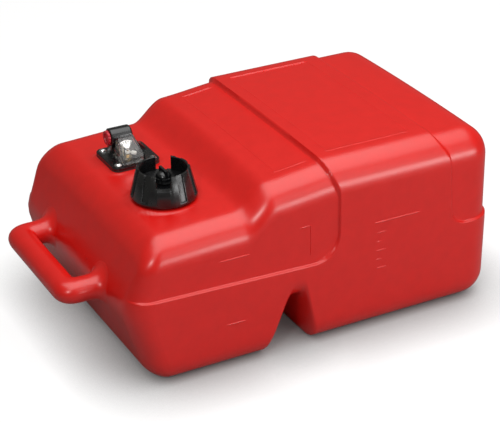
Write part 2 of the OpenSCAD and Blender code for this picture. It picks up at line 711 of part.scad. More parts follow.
// Fan shaped dial plate that leans back over the flag, on two legs behind the spindle
dial_lean = 50;
dial_l = 13;
dial_up = 9;
dial_leg_x = 3.4;
dial_leg_y = 5;
module gauge_dial() {
    color([0.8, 0.81, 0.83]) translate([gauge_x, gauge_y, plate_top]) {
        translate([0, -2, dial_up]) rotate([dial_lean, 0, 0])
            linear_extrude(height = 0.8) intersection() {
                difference() {
                    circle(r = dial_l, $fn = 96);
                    circle(r = 3, $fn = 48);
                }
                polygon([[0, 0], [-dial_l*0.75, dial_l], [dial_l*0.75, dial_l]]);
            }
        for (x = [-1, 1]) translate([x*dial_leg_x - 0.6, dial_leg_y, 0])
            cube([1.2, 1.2, dial_up + (dial_leg_y + 2.4)*tan(dial_lean)]);
    }
}

bush_r = 3.4;
bush_flange_r = 5;
module spindle_bush() {
    color([0.78, 0.6, 0.25]) translate([gauge_x, gauge_y, plate_foot - 9]) difference() {
        union() {
            cylinder(h = plate_t + 9, r = bush_r, $fn = 48);
            translate([0, 0, plate_t + 9]) cylinder(h = 1, r = bush_flange_r, $fn = 48);
            translate([0, 0, -1]) cylinder(h = 1, r = bush_flange_r, $fn = 48);
        }
        translate([0, 0, -2*over]) cylinder(h = plate_t + 14, r = journal_r + slide_fit/2, $fn = 48);
    }
}

// Twisted strip that the float turns as it climbs, with a journal at each end
strip_foot = bridge_h + 0.5;
strip_top = plate_foot - 10.5;
strip_l = strip_top - strip_foot;
twist_rate = gauge_turn/float_travel;
flag_z = plate_top + 5;
flag_empty = -45;    // way the flag points when the tank is empty
module gauge_spindle() {
    color([0.8, 0.66, 0.3]) translate([gauge_x, gauge_y, 0]) {
        translate([0, 0, strip_foot]) linear_extrude(height = strip_l, twist = -twist_rate*strip_l, slices = 40)
            square([strip_w, strip_t], center = true);
        translate([0, 0, bridge_h - 3]) cylinder(h = 4, r = journal_r, $fn = 48);
        translate([0, 0, strip_top - 1]) cylinder(h = flag_z + 4 - strip_top, r = journal_r, $fn = 48);
    }
}

flag_reach = 11;
module gauge_flag() {
    color([0.95, 0.95, 0.93]) translate([gauge_x, gauge_y, flag_z]) rotate([0, 0, flag_empty]) {
        difference() {
            cylinder(h = 3, r = 3, $fn = 48);
            translate([0, 0, -over]) cylinder(h = 3 + 2*over, r = journal_r, $fn = 48);
        }
        translate([2.4, -0.8, 0.6]) cube([3.4, 1.6, 1.8]);
        translate([5.4, -2, 0]) cube([flag_reach - 5.4, 4, 3.4]);
    }
}

// Float with a hole for the strip, a sleeve hole for the guide rod and a pocket for its bush
float_foot = bridge_h + 1;
float_bush_r = 5;
module gauge_float() {
    color([0.16, 0.14, 0.13]) translate([gauge_x, gauge_y, float_foot]) difference() {
        rotate_extrude($fn = 96) polygon([[0, 0], [float_r - 1.5, 0], [float_r, 1.5],
            [float_r, float_h - 1.5], [float_r - 1.5, float_h], [0, float_h]]);
        translate([0, 0, -over]) cylinder(h = float_h + 2*over, r = 3.2, $fn = 48);
        translate([0, 0, float_h - 3]) cylinder(h = 3 + over, r = float_bush_r, $fn = 48);
        translate([rod_x - gauge_x, rod_y - gauge_y, -over])
            cylinder(h = float_h + 2*over, r = rod_r + slide_fit, $fn = 32);
    }
}

// Slotted disc in the float's top, which rides on the twisted strip
float_bush_t = 2;
module float_bush() {
    bush_mid = float_foot + float_h - 3 + float_bush_t/2;
    color([0.8, 0.66, 0.3]) translate([gauge_x, gauge_y, bush_mid - float_bush_t/2]) difference() {
        cylinder(h = float_bush_t, r = float_bush_r, $fn = 48);
        rotate([0, 0, twist_rate*(bush_mid - strip_foot)]) translate([0, 0, float_bush_t/2])
            cube([strip_w + 0.6, strip_t + 0.5, 2*float_bush_t], center = true);
    }
}

module guide_rod() {
    color([0.75, 0.76, 0.78]) translate([rod_x, rod_y, bridge_h - 3])
        cylinder(h = plate_foot - 2 - bridge_h + 3, r = rod_r, $fn = 32);
}

// Bridge at the foot, which joins the tube, the rod and the spindle's lower journal
bridge_t = 3;
module gauge_bridge() {
    color(cap_black) translate([0, 0, bridge_h - bridge_t]) difference() {
        linear_extrude(height = bridge_t) hull() {
            translate([gauge_x, gauge_y]) circle(r = 5, $fn = 48);
            translate([rod_x, rod_y]) circle(r = 4, $fn = 48);
            translate([fitting_x, barrel_y]) circle(r = tube_r + 2.4, $fn = 48);
        }
        translate([fitting_x, barrel_y, -over]) cylinder(h = bridge_t + 2*over, r = tube_r, $fn = 48);
        translate([rod_x, rod_y, -over]) cylinder(h = bridge_t + 2*over, r = rod_r, $fn = 32);
        translate([gauge_x, gauge_y, -over])
            cylinder(h = bridge_t + 2*over, r = journal_r + slide_fit/2, $fn = 48);
    }
}

module pickup_tube() {
    color([0.12, 0.12, 0.13]) translate([fitting_x, barrel_y, tube_foot_h]) difference() {
        cylinder(h = tube_top - tube_foot_h, r = tube_r, $fn = 64);
        translate([0, 0, -over]) cylinder(h = tube_top, r = tube_r - 1.2, $fn = 64);
    }
}

// Ribbed mesh cup over the tube's open end
strainer_r = tube_r + 2;
strainer_l = 13;
module pickup_strainer() {
    color([0.85, 0.85, 0.82]) translate([fitting_x, barrel_y, tube_foot_h - 4]) difference() {
        cylinder(h = strainer_l, r = strainer_r, $fn = 64);
        translate([0, 0, 1.2]) cylinder(h = strainer_l - 2.4, r = strainer_r - 1.2, $fn = 64);
        translate([0, 0, 1.2]) cylinder(h = strainer_l, r = tube_r, $fn = 64);
        for (i = [0:7], k = [0:1]) rotate([0, 0, 45*i]) translate([0, -1.1, 2 + 3.4*k])
            cube([2*strainer_r, 2.2, 2.4]);
    }
}

tank_body();
filler_neck();
tank_inserts();
cap_shell();
cap_seal();
vent_knob();
vent_seal();
fitting_body();
fitting_gasket();
fitting_screws();
port_insert();
port_plug();
plug_seal();
gauge_lens();
gauge_dial();
gauge_spindle();
gauge_flag();
spindle_bush();
gauge_float();
float_bush();
guide_rod();
gauge_bridge();
pickup_tube();
pickup_strainer();
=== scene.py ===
"""Looks of the outboard fuel tank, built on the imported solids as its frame.

Sizes are in millimetres up to the moment a mesh is made, and metres from there on.
"""

import logging
import math
from dataclasses import dataclass, field
from enum import Enum
from typing import Iterable, Sequence

import bmesh
import bpy
import numpy as np
from mathutils import Matrix, Vector


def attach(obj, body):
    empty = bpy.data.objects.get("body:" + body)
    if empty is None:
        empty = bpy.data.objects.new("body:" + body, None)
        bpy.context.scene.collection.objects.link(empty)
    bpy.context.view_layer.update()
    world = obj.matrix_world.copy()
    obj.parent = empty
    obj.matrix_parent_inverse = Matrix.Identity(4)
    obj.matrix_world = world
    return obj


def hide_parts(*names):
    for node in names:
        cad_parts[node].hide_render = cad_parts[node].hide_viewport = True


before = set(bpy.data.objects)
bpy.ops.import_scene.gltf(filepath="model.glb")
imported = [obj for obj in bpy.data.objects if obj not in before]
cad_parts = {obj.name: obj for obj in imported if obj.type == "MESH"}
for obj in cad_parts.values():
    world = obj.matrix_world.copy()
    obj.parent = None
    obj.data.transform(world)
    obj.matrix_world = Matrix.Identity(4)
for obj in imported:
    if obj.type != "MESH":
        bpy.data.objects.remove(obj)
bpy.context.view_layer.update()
MM = 0.001

Point = tuple[float, float, float]
Place = tuple[float, float]
Colour = tuple[float, float, float]

log = logging.getLogger("fuel_tank")


class Body(Enum):
    """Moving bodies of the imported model."""

    TANK = "tank"
    CAP = "cap"
    VENT = "vent"
    SPINDLE = "spindle"
    PLUG = "plug"


def srgb(red: int, green: int, blue: int) -> Colour:
    """Turn an 8 bit screen colour into the linear colour that a shader takes."""
    return tuple(v / 12.92 if v <= 0.04045 else ((v + 0.055) / 1.055) ** 2.4
                 for v in (c / 255 for c in (red, green, blue)))


def toned(colour: Colour, gain: float, lift: float = 0.0) -> Colour:
    """Scale a linear colour and lift it, but not past full."""
    return tuple(min(1.0, gain * c + lift) for c in colour)


def grey(level: float) -> Colour:
    """A neutral colour."""
    return (level,) * 3


# ------------------------------------------------------------------------------ node sheets


class Wire:
    """An output socket that takes part in arithmetic."""

    def __init__(self, sheet: "Sheet", socket: bpy.types.NodeSocket) -> None:
        """Keep the socket and the sheet that it is on."""
        self.sheet = sheet
        self.socket = socket

    def _maths(self, operation: str, first: object, second: object) -> "Wire":
        """Add a Math node.

        Args:
            operation: the node's operation.
            first: the first value or wire.
            second: the second value or wire.

        Returns:
            The node's result.
        """
        return self.sheet.node("ShaderNodeMath", {"operation": operation}, {0: first, 1: second})

    def __add__(self, other: object) -> "Wire":
        """Sum."""
        return self._maths("ADD", self, other)

    def __radd__(self, other: object) -> "Wire":
        """Sum, reflected."""
        return self._maths("ADD", other, self)

    def __sub__(self, other: object) -> "Wire":
        """Difference."""
        return self._maths("SUBTRACT", self, other)

    def __rsub__(self, other: object) -> "Wire":
        """Difference, reflected."""
        return self._maths("SUBTRACT", other, self)

    def __mul__(self, other: object) -> "Wire":
        """Product."""
        return self._maths("MULTIPLY", self, other)

    def __rmul__(self, other: object) -> "Wire":
        """Product, reflected."""
        return self._maths("MULTIPLY", other, self)

    def __pow__(self, other: object) -> "Wire":
        """Power."""
        return self._maths("POWER", self, other)

    def __rpow__(self, other: object) -> "Wire":
        """Power, reflected."""
        return self._maths("POWER", other, self)

    def at_least(self, other: object) -> "Wire":
        """The higher of the two."""
        return self._maths("MAXIMUM", self, other)


class Sheet:
    """A node tree that is filled from code."""

    def __init__(self, tree: bpy.types.NodeTree, output: str) -> None:
        """Empty the tree and give it its output node.

        Args:
            tree: the node tree.
            output: type of its output node.
        """
        self.tree = tree
        self.tree.nodes.clear()
        self.output = self.tree.nodes.new(output)

    def plug(self, socket: bpy.types.NodeSocket, value: object) -> None:
        """Give an input socket a link or a value.

        Args:
            socket: the input.
            value: a wire, a number, a vector or a colour.
        """
        if isinstance(value, Wire):
            self.tree.links.new(value.socket, socket)
        elif socket.type == "RGBA" and len(value) == 3:
            socket.default_value = (*value, 1.0)
        else:
            socket.default_value = value

    def node(self, kind: str, settings: dict[str, object] | None = None,
             sockets: dict[object, object] | None = None, out: object = 0) -> Wire:
        """Add any node.

        Args:
            kind: the node's type.
            settings: attributes, set before the sockets; "stops" are a ramp's stops.
            sockets: input names or places, with their values or wires.
            out: name or place of the output that is returned.

        Returns:
            The chosen output.
        """
        made = self.tree.nodes.new(kind)
        for key, value in (settings or {}).items():
            if key == "stops":
                self._set_stops(made.color_ramp, value)
            else:
                setattr(made, key, value)
        for key, value in (sockets or {}).items():
            self.plug(made.inputs[key], value)
        return Wire(self, made.outputs[out])

    @staticmethod
    def _set_stops(ramp: bpy.types.ColorRamp, stops: Sequence[Place]) -> None:
        """Set the stops of a ramp.

        Args:
            ramp: the ramp.
            stops: (place, grey level) pairs.
        """
        while len(ramp.elements) < len(stops):
            ramp.elements.new(0.5)
        for element, (place, level) in zip(ramp.elements, stops):
            element.position = place
            element.color = (*grey(level), 1.0)

    def ray(self, kind: str) -> Wire:
        """1 for rays of one kind, such as Camera, and 0 for the others."""
        return self.node("ShaderNodeLightPath", out=f"Is {kind} Ray")

    def seen(self) -> Wire:
        """1 where the camera sees the surface, straight or through clear plastic."""
        return self.ray("Camera").at_least(self.ray("Transmission"))

    def show(self, surface: Wire) -> None:
        """Send a shader to the output."""
        self.plug(self.output.inputs["Surface"], surface)

    def mix(self, share: Wire, first: Wire, second: Wire) -> Wire:
        """Mix two shaders; a share of 1 gives the second."""
        return self.node("ShaderNodeMixShader", None, {0: share, 1: first, 2: second})


SOCKETS = {
    "colour": "Base Color", "metallic": "Metallic", "roughness": "Roughness", "ior": "IOR",
    "normal": "Normal", "specular": "Specular IOR Level", "tint": "Specular Tint",
    "clear": "Transmission Weight",
}


class MaterialSheet(Sheet):
    """The sheet of one material, built round a Principled shader."""

    def __init__(self, name: str) -> None:
        """Start a material whose shader goes to its output.

        Args:
            name: the material's name.
        """
        self.material = bpy.data.materials.new(name)
        self.material.use_nodes = True
        super().__init__(self.material.node_tree, "ShaderNodeOutputMaterial")
        self.shader = self.node("ShaderNodeBsdfPrincipled")
        self.show(self.shader)

    def place(self) -> Wire:
        """Object coordinates, which are metres in the tank's own frame."""
        return self.node("ShaderNodeTexCoord", out="Object")

    def noise(self, scale: float, detail: float = 3.0, roughness: float = 0.5,
              at: Wire | None = None) -> Wire:
        """Fractal noise from 0 to 1.

        Args:
            scale: features for each metre.
            detail: octaves.
            roughness: weight of the finer octaves.
            at: coordinates, object coordinates by default.

        Returns:
            The noise.
        """
        return self.node("ShaderNodeTexNoise", {"noise_dimensions": "3D"},
                         {"Vector": at or self.place(), "Scale": scale, "Detail": detail,
                          "Roughness": roughness}, "Fac")

    def ramp(self, value: Wire, *stops: Place) -> Wire:
        """Map a value through grey stops."""
        return self.node("ShaderNodeValToRGB", {"stops": stops}, {"Fac": value})

    def blend(self, mask: object, low: object, high: object) -> Wire:
        """Mix two colours; a mask of 1 gives the second."""
        return self.node("ShaderNodeMix", {"data_type": "RGBA"}, {0: mask, 6: low, 7: high}, 2)

    def bump(self, height: Wire, depth: float, strength: float, over: Wire | None = None) -> Wire:
        """Turn a height into a normal.

        Args:
            height: the height, from 0 to 1.
            depth: metres that a height of 1 stands for.
            strength: how much of it shows.
            over: the normal that it lies on.

        Returns:
            The normal.
        """
        sockets: dict[object, object] = {"Height": height, "Distance": depth, "Strength": strength}
        if over is not None:
            sockets["Normal"] = over
        return self.node("ShaderNodeBump", None, sockets)

    def finish(self, **sockets: object) -> bpy.types.Material:
        """Set the shader's sockets.

        Args:
            **sockets: keys of SOCKETS, and their values or wires.

        Returns:
            The finished material.
        """
        for key, value in sockets.items():
            self.plug(self.shader.socket.node.inputs[SOCKETS[key]], value)
        return self.material


# ------------------------------------------------------------------------------ finishes


@dataclass(frozen=True)
class Finish:
    """A surface finish. Scales are features for each metre, and depths are metres."""

    name: str
    colour: Colour
    roughness: float

    def material(self) -> bpy.types.Material:
        """Return the material, made once for each finish."""
        found = bpy.data.materials.get(self.name)
        return found or self.paint(MaterialSheet(self.name))

    def paint(self, sheet: MaterialSheet) -> bpy.types.Material:
        """Fill a sheet; every finish has its own way."""
        raise NotImplementedError


@dataclass(frozen=True)
class MouldedRed(Finish):
    """Blow moulded polyethylene: waxy gloss, a faint ripple, orange peel and scuffs low down."""

    ripple_scale: float = 11.0
    ripple_depth: float = 0.00032
    mottle_scale: float = 60.0
    peel_scale: float = 900.0
    peel_depth: float = 0.000014
    grain_scale: float = 2600.0
    grain_depth: float = 0.000007
    scuff_scale: float = 150.0
    scuff_height: float = 0.0875
    specular: float = 0.85
    tint: Colour = (1.0, 0.92, 0.91)

    def paint(self, sheet: MaterialSheet) -> bpy.types.Material:
        """Paint the moulding.

        Args:
            sheet: the material's sheet.

        Returns:
            The material.
        """
        place = sheet.place()
        mottle = sheet.noise(self.mottle_scale, 4.0, 0.55, at=place)
        peel = sheet.noise(self.peel_scale, 2.0, at=place)
        cloudy = sheet.ramp(mottle, (0.3, 0.0), (0.7, 1.0))
        tone = sheet.blend(cloudy, toned(self.colour, 0.96), toned(self.colour, 1.03))
        height = sheet.node("ShaderNodeSeparateXYZ", None, {0: place}, "Z")
        low = sheet.ramp(height * (1 / self.scuff_height), (0.0, 1.0), (1.0, 0.0))
        scuff = sheet.ramp(sheet.noise(self.scuff_scale, 6.0, 0.75, at=place), (0.6, 0.0), (0.78, 1.0))
        worn = scuff * low * 0.5
        rough = self.roughness + (mottle - 0.5) * 0.10 + worn * 0.22 + (peel - 0.5) * 0.04
        rippled = sheet.bump(sheet.noise(self.ripple_scale, 2.0, at=place), self.ripple_depth, 0.55)
        peeled = sheet.bump(peel, self.peel_depth, 0.6, over=rippled)
        grain = sheet.noise(self.grain_scale, 1.0, at=place)
        grained = sheet.bump(grain, self.grain_depth, 0.4, over=peeled)
        return sheet.finish(colour=sheet.blend(worn, tone, toned(self.colour, 0.85, 0.03)), roughness=rough,
                            normal=grained, ior=1.5, specular=self.specular, tint=self.tint)


@dataclass(frozen=True)
class MouldedBlack(Finish):
    """Black injection moulding with a fine spark-eroded texture and pale rubbed spots."""

    spark_scale: float = 3200.0
    spark_depth: float = 0.00006
    smudge_scale: float = 140.0
    dust_scale: float = 420.0
    specular: float = 0.8

    def paint(self, sheet: MaterialSheet) -> bpy.types.Material:
        """Paint the moulding.

        Args:
            sheet: the material's sheet.

        Returns:
            The material.
        """
        place = sheet.place()
        spark = sheet.noise(self.spark_scale, 3.0, 0.6, at=place)
        smudge = sheet.noise(self.smudge_scale, 4.0, 0.6, at=place)
        dust = sheet.ramp(sheet.noise(self.dust_scale, 5.0, 0.7, at=place), (0.55, 0.0), (0.8, 1.0))
        tone = sheet.blend(dust * 0.35, self.colour, toned(self.colour, 2.2, 0.01))
        rough = self.roughness + (smudge - 0.5) * 0.18 + dust * 0.08
        return sheet.finish(colour=tone, roughness=rough, specular=self.specular,
                            normal=sheet.bump(spark, self.spark_depth, 0.5))


@dataclass(frozen=True)
class SmokyWindow(Finish):
    """Clear moulded plastic with a faint smoky tint, flow waves and hairlines."""

    wave_scale: float = 120.0
    wave_depth: float = 0.00004
    hair_scale: float = 1400.0

    def paint(self, sheet: MaterialSheet) -> bpy.types.Material:
        """Paint the window.

        Args:
            sheet: the material's sheet.

        Returns:
            The material.
        """
        place = sheet.place()
        wave = sheet.noise(self.wave_scale, 2.0, at=place)
        rough = self.roughness + (sheet.noise(self.hair_scale, 3.0, 0.6, at=place) - 0.5) * 0.05
        return sheet.finish(colour=self.colour, roughness=rough, clear=1.0, ior=1.46,
                            normal=sheet.bump(wave, self.wave_depth, 0.3))


@dataclass(frozen=True)
class BrushedMetal(Finish):
    """Bare metal with brushed hairlines along one direction."""

    stretch: Point = (1.0, 1.0, 30.0)
    line_scale: float = 260.0
    line_depth: float = 0.00003
    smear_scale: float = 90.0

    def paint(self, sheet: MaterialSheet) -> bpy.types.Material:
        """Paint the metal.

        Args:
            sheet: the material's sheet.

        Returns:
            The material.
        """
        along = sheet.node("ShaderNodeMapping", None, {"Vector": sheet.place(), "Scale": self.stretch})
        lines = sheet.noise(self.line_scale, 4.0, 0.65, at=along)
        tone = sheet.blend(lines, toned(self.colour, 0.86), self.colour)
        rough = self.roughness + (lines - 0.5) * 0.14 + (sheet.noise(self.smear_scale) - 0.5) * 0.08
        return sheet.finish(colour=tone, metallic=1.0, roughness=rough,
                            normal=sheet.bump(lines, self.line_depth, 0.35))


@dataclass(frozen=True)
class SoftRubber(Finish):
    """Black sealing rubber with bloom."""

    bloom_scale: float = 300.0
    grain_scale: float = 1800.0
    grain_depth: float = 0.00005

    def paint(self, sheet: MaterialSheet) -> bpy.types.Material:
        """Paint the rubber.

        Args:
            sheet: the material's sheet.

        Returns:
            The material.
        """
        bloom = sheet.noise(self.bloom_scale, 5.0, 0.7)
        tone = sheet.blend(bloom, self.colour, toned(self.colour, 1.0, 0.03))
        return sheet.finish(colour=tone, roughness=self.roughness + (bloom - 0.5) * 0.1,
                            normal=sheet.bump(sheet.noise(self.grain_scale), self.grain_depth, 0.5))


@dataclass(frozen=True)
class PlainPlastic(Finish):
    """Small plain moulding with a slight mottle."""

    mottle_scale: float = 900.0
    mottle_depth: float = 0.00004

    def paint(self, sheet: MaterialSheet) -> bpy.types.Material:
        """Paint the moulding.

        Args:
            sheet: the material's sheet.

        Returns:
            The material.
        """
        mottle = sheet.noise(self.mottle_scale, 4.0, 0.6)
        tone = sheet.blend(mottle, toned(self.colour, 0.9), self.colour)
        return sheet.finish(colour=tone, roughness=self.roughness + (mottle - 0.5) * 0.12,
                            normal=sheet.bump(mottle, self.mottle_depth, 0.4))


RED = MouldedRed("tank_red", srgb(229, 20, 13), 0.31)
BLACK = MouldedBlack("fitting_black", srgb(14, 14, 16), 0.25)
WINDOW = SmokyWindow("window_clear", (0.93, 0.91, 0.88), 0.03)
STEEL = BrushedMetal("screw_steel", (0.86, 0.87, 0.88), 0.16, (1.0, 1.0, 1.0))
DIAL = BrushedMetal("dial_metal", (0.68, 0.69, 0.71), 0.42, (20.0, 1.0, 1.0))
ROD = BrushedMetal("rod_steel", (0.6, 0.61, 0.63), 0.3)
BRASS = BrushedMetal("turned_brass", (0.82, 0.62, 0.28), 0.25)
RUBBER = SoftRubber("seal_rubber", (0.015, 0.015, 0.016), 0.7)
PLUG_RED = PlainPlastic("plug_red", srgb(198, 16, 40), 0.28)
WHITE = PlainPlastic("flag_white", (0.86, 0.86, 0.84), 0.4)
CREAM = PlainPlastic("strainer_cream", (0.74, 0.71, 0.62), 0.5)
FOAM = PlainPlastic("float_foam", (0.03, 0.026, 0.024), 0.6, 500.0)
INK = PlainPlastic("dial_ink", (0.02, 0.02, 0.022), 0.5)


# ------------------------------------------------------------------------------ mesh tools


def make_object(name: str, points: Iterable[Sequence[float]], faces: Iterable[Sequence[int]],
                finish: Finish, sharp: float = 35.0) -> bpy.types.Object:
    """Make an object from points in millimetres.

    Args:
        name: the piece's name.
        points: vertices, in millimetres.
        faces: vertex numbers of each face.
        finish: the piece's finish.
        sharp: edges that bend more than this many degrees stay sharp.

    Returns:
        The object, shaded smooth, with its faces turned outward.
    """
    mesh = bpy.data.meshes.new(name)
    mesh.from_pydata([tuple(float(c) * MM for c in p) for p in points], [], list(faces))
    work = bmesh.new()
    work.from_mesh(mesh)
    bmesh.ops.recalc_face_normals(work, faces=work.faces)
    work.to_mesh(mesh)
    work.free()
    shade(mesh, sharp)
    return place_mesh(name, mesh, finish)


def place_mesh(name: str, mesh: bpy.types.Mesh, finish: Finish) -> bpy.types.Object:
    """Put a mesh in the scene with one finish.

    Args:
        name: the piece's name.
        mesh: its mesh.
        finish: its finish.

    Returns:
        The piece.
    """
    mesh.materials.clear()
    mesh.materials.append(finish.material())
    piece = bpy.data.objects.new(name, mesh)
    bpy.context.scene.collection.objects.link(piece)
    return piece


def shade(mesh: bpy.types.Mesh, sharp: float) -> None:
    """Shade a mesh smooth, apart from its sharp edges.

    Args:
        mesh: the mesh.
        sharp: the angle that counts as sharp, in degrees.
    """
    mesh.shade_smooth()
    mesh.set_sharp_from_angle(angle=math.radians(sharp))
    mesh.update()


def skinned(name: str, rings: Sequence[np.ndarray], finish: Finish, sharp: float = 35.0) -> bpy.types.Object:
    """Skin a series of rings and close its two ends.

    Args:
        name: the piece's name.
        rings: closed rings of the same count of points, in millimetres.
        finish: the finish.
        sharp: the angle that counts as sharp, in degrees.

    Returns:
        The piece.
    """
    count, last = len(rings[0]), len(rings) - 1
    faces = [(k * count + i, k * count + (i + 1) % count,
              (k + 1) * count + (i + 1) % count, (k + 1) * count + i)
             for k in range(last) for i in range(count)]
    faces += [tuple(range(count))[::-1], tuple(range(last * count, (last + 1) * count))]
    return make_object(name, np.vstack(rings), faces, finish, sharp)


def turned(name: str, profile: Sequence[Place], centre: Point, finish: Finish,
           steps: int) -> bpy.types.Object:
    """Turn a closed profile round an upright axis.

    Args:
        name: the piece's name.
        profile: (radius, height) pairs; a closed outline.
        centre: the axis's foot.
        finish: the finish.
        steps: facets round the axis.

    Returns:
        The piece.
    """
    count = len(profile)
    points = [tuple(Vector((r * math.cos(a), r * math.sin(a), z)) + Vector(centre))
              for a in (2 * math.pi * k / steps for k in range(steps)) for r, z in profile]
    faces = [(k * count + i, k * count + (i + 1) % count,
              (k + 1) % steps * count + (i + 1) % count, (k + 1) % steps * count + i)
             for k in range(steps) for i in range(count)]
    return make_object(name, points, faces, finish)


def softened(node: str, name: str, finish: Finish, width: float, segments: int = 2) -> bpy.types.Object:
    """Copy a solid's mesh and round its edges.

    Args:
        node: the solid.
        name: the new piece's name.
        finish: its finish.
        width: width of the rounding, in millimetres.
        segments: facets across the rounding.

    Returns:
        The new piece.
    """
    weld, flat = 2e-6, math.radians(0.8)
    work = bmesh.new()
    work.from_mesh(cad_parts[node].data)
    bmesh.ops.remove_doubles(work, verts=work.verts, dist=weld)
    bmesh.ops.dissolve_limit(work, angle_limit=flat, verts=work.verts, edges=work.edges)
    mesh = bpy.data.meshes.new(name)
    work.to_mesh(mesh)
    work.free()
    piece = place_mesh(name, mesh, finish)
    round_edges(piece, width, segments)
    return piece


def round_edges(piece: bpy.types.Object, width: float, segments: int = 2, angle: float = 32.0) -> None:
    """Round a piece's edges.

    Args:
        piece: the piece.
        width: width of the rounding, in millimetres.
        segments: facets across the rounding.
        angle: edges that bend more than this many degrees are rounded.
    """
    piece.data.shade_smooth()
    rounding = piece.modifiers.new("rounding", "BEVEL")
    rounding.width = width * MM
    rounding.segments = segments
    rounding.limit_method = "ANGLE"
    rounding.angle_limit = math.radians(angle)
    rounding.use_clamp_overlap = True
    rounding.miter_outer = "MITER_ARC"
    apply_modifiers(piece)
    shade(piece.data, 40.0)


def combine(piece: bpy.types.Object, tool: bpy.types.Object, operation: str = "DIFFERENCE") -> None:
    """Cut a tool out of a piece, or join it to the piece, and delete the tool.

    Args:
        piece: the piece.
        tool: the tool, a closed mesh.
        operation: DIFFERENCE or UNION.
    """
    step = piece.modifiers.new("step", "BOOLEAN")
    step.operation = operation
    step.solver = "EXACT"
    step.object = tool
    apply_modifiers(piece)
    bpy.data.objects.remove(tool, do_unlink=True)


def apply_modifiers(piece: bpy.types.Object) -> None:
    """Bake modifiers into a mesh.

    Args:
        piece: the piece that has them.
    """
    graph = bpy.context.evaluated_depsgraph_get()
    baked = bpy.data.meshes.new_from_object(piece.evaluated_get(graph))
    piece.modifiers.clear()
    piece.data = baked


def settle(piece: bpy.types.Object, body: Body, *stands_for: str, slot: str) -> bpy.types.Object:
    """Let a piece ride on a body, and hide the solids that it stands for.

    Args:
        piece: the piece.
        body: the body that carries it.
        *stands_for: solids that it replaces.
        slot: not used.

    Returns:
        The same piece.
    """
    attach(piece, body.value)
    if stands_for:
        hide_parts(*stands_for)
    return piece


def dress(finishes: dict[str, Finish]) -> None:
    """Give carried-over solids their finishes.

    Args:
        finishes: solids and their finishes.
    """
    for node, finish in finishes.items():
        for material_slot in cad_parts[node].material_slots:
            material_slot.material = finish.material()


# ------------------------------------------------------------------------------ profiles


def eased(x: np.ndarray | float, at: float, run: float) -> np.ndarray:
    """Step from 0 to 1 with round ends, over a run that starts at a place."""
    u = np.clip((np.asarray(x, float) - at) / run, 0, 1)
    return u * u * (3 - 2 * u)


def arc(centre: Place, radius: float, start: float, stop: float, steps: int) -> list[Place]:
    """Points along an arc from one angle to another, in radians."""
    turns = (start + (stop - start) * k / steps for k in range(steps + 1))
    return [(centre[0] + radius * math.cos(a), centre[1] + radius * math.sin(a)) for a in turns]


def graded(zones: Iterable[tuple[float, float, float]]) -> list[float]:
    """Grid lines through zones that follow each other.

    Args:
        zones: start, end and rough spacing of each zone.

    Returns:
        The lines, without the last zone's end.
    """
    lines: list[float] = []
    for low, high, step in zones:
        count = max(1, round((high - low) / step))
        lines += [low + (high - low) * k / count for k in range(count)]
    return lines


def spaced(corners: Sequence[Place], step: float = 4.0) -> list[Place]:
    """Put points along a polyline.

    Args:
        corners: the polyline.
        step: largest distance between two points.

    Returns:
        The corners with points between them.
    """
    places = [corners[0]]
    for start, end in zip(corners, corners[1:]):
        count = max(1, math.ceil(math.dist(start, end) / step))
        places += [(start[0] + (end[0] - start[0]) * k / count,
                    start[1] + (end[1] - start[1]) * k / count) for k in range(1, count + 1)]
    return places


# ------------------------------------------------------------------------------ the moulding


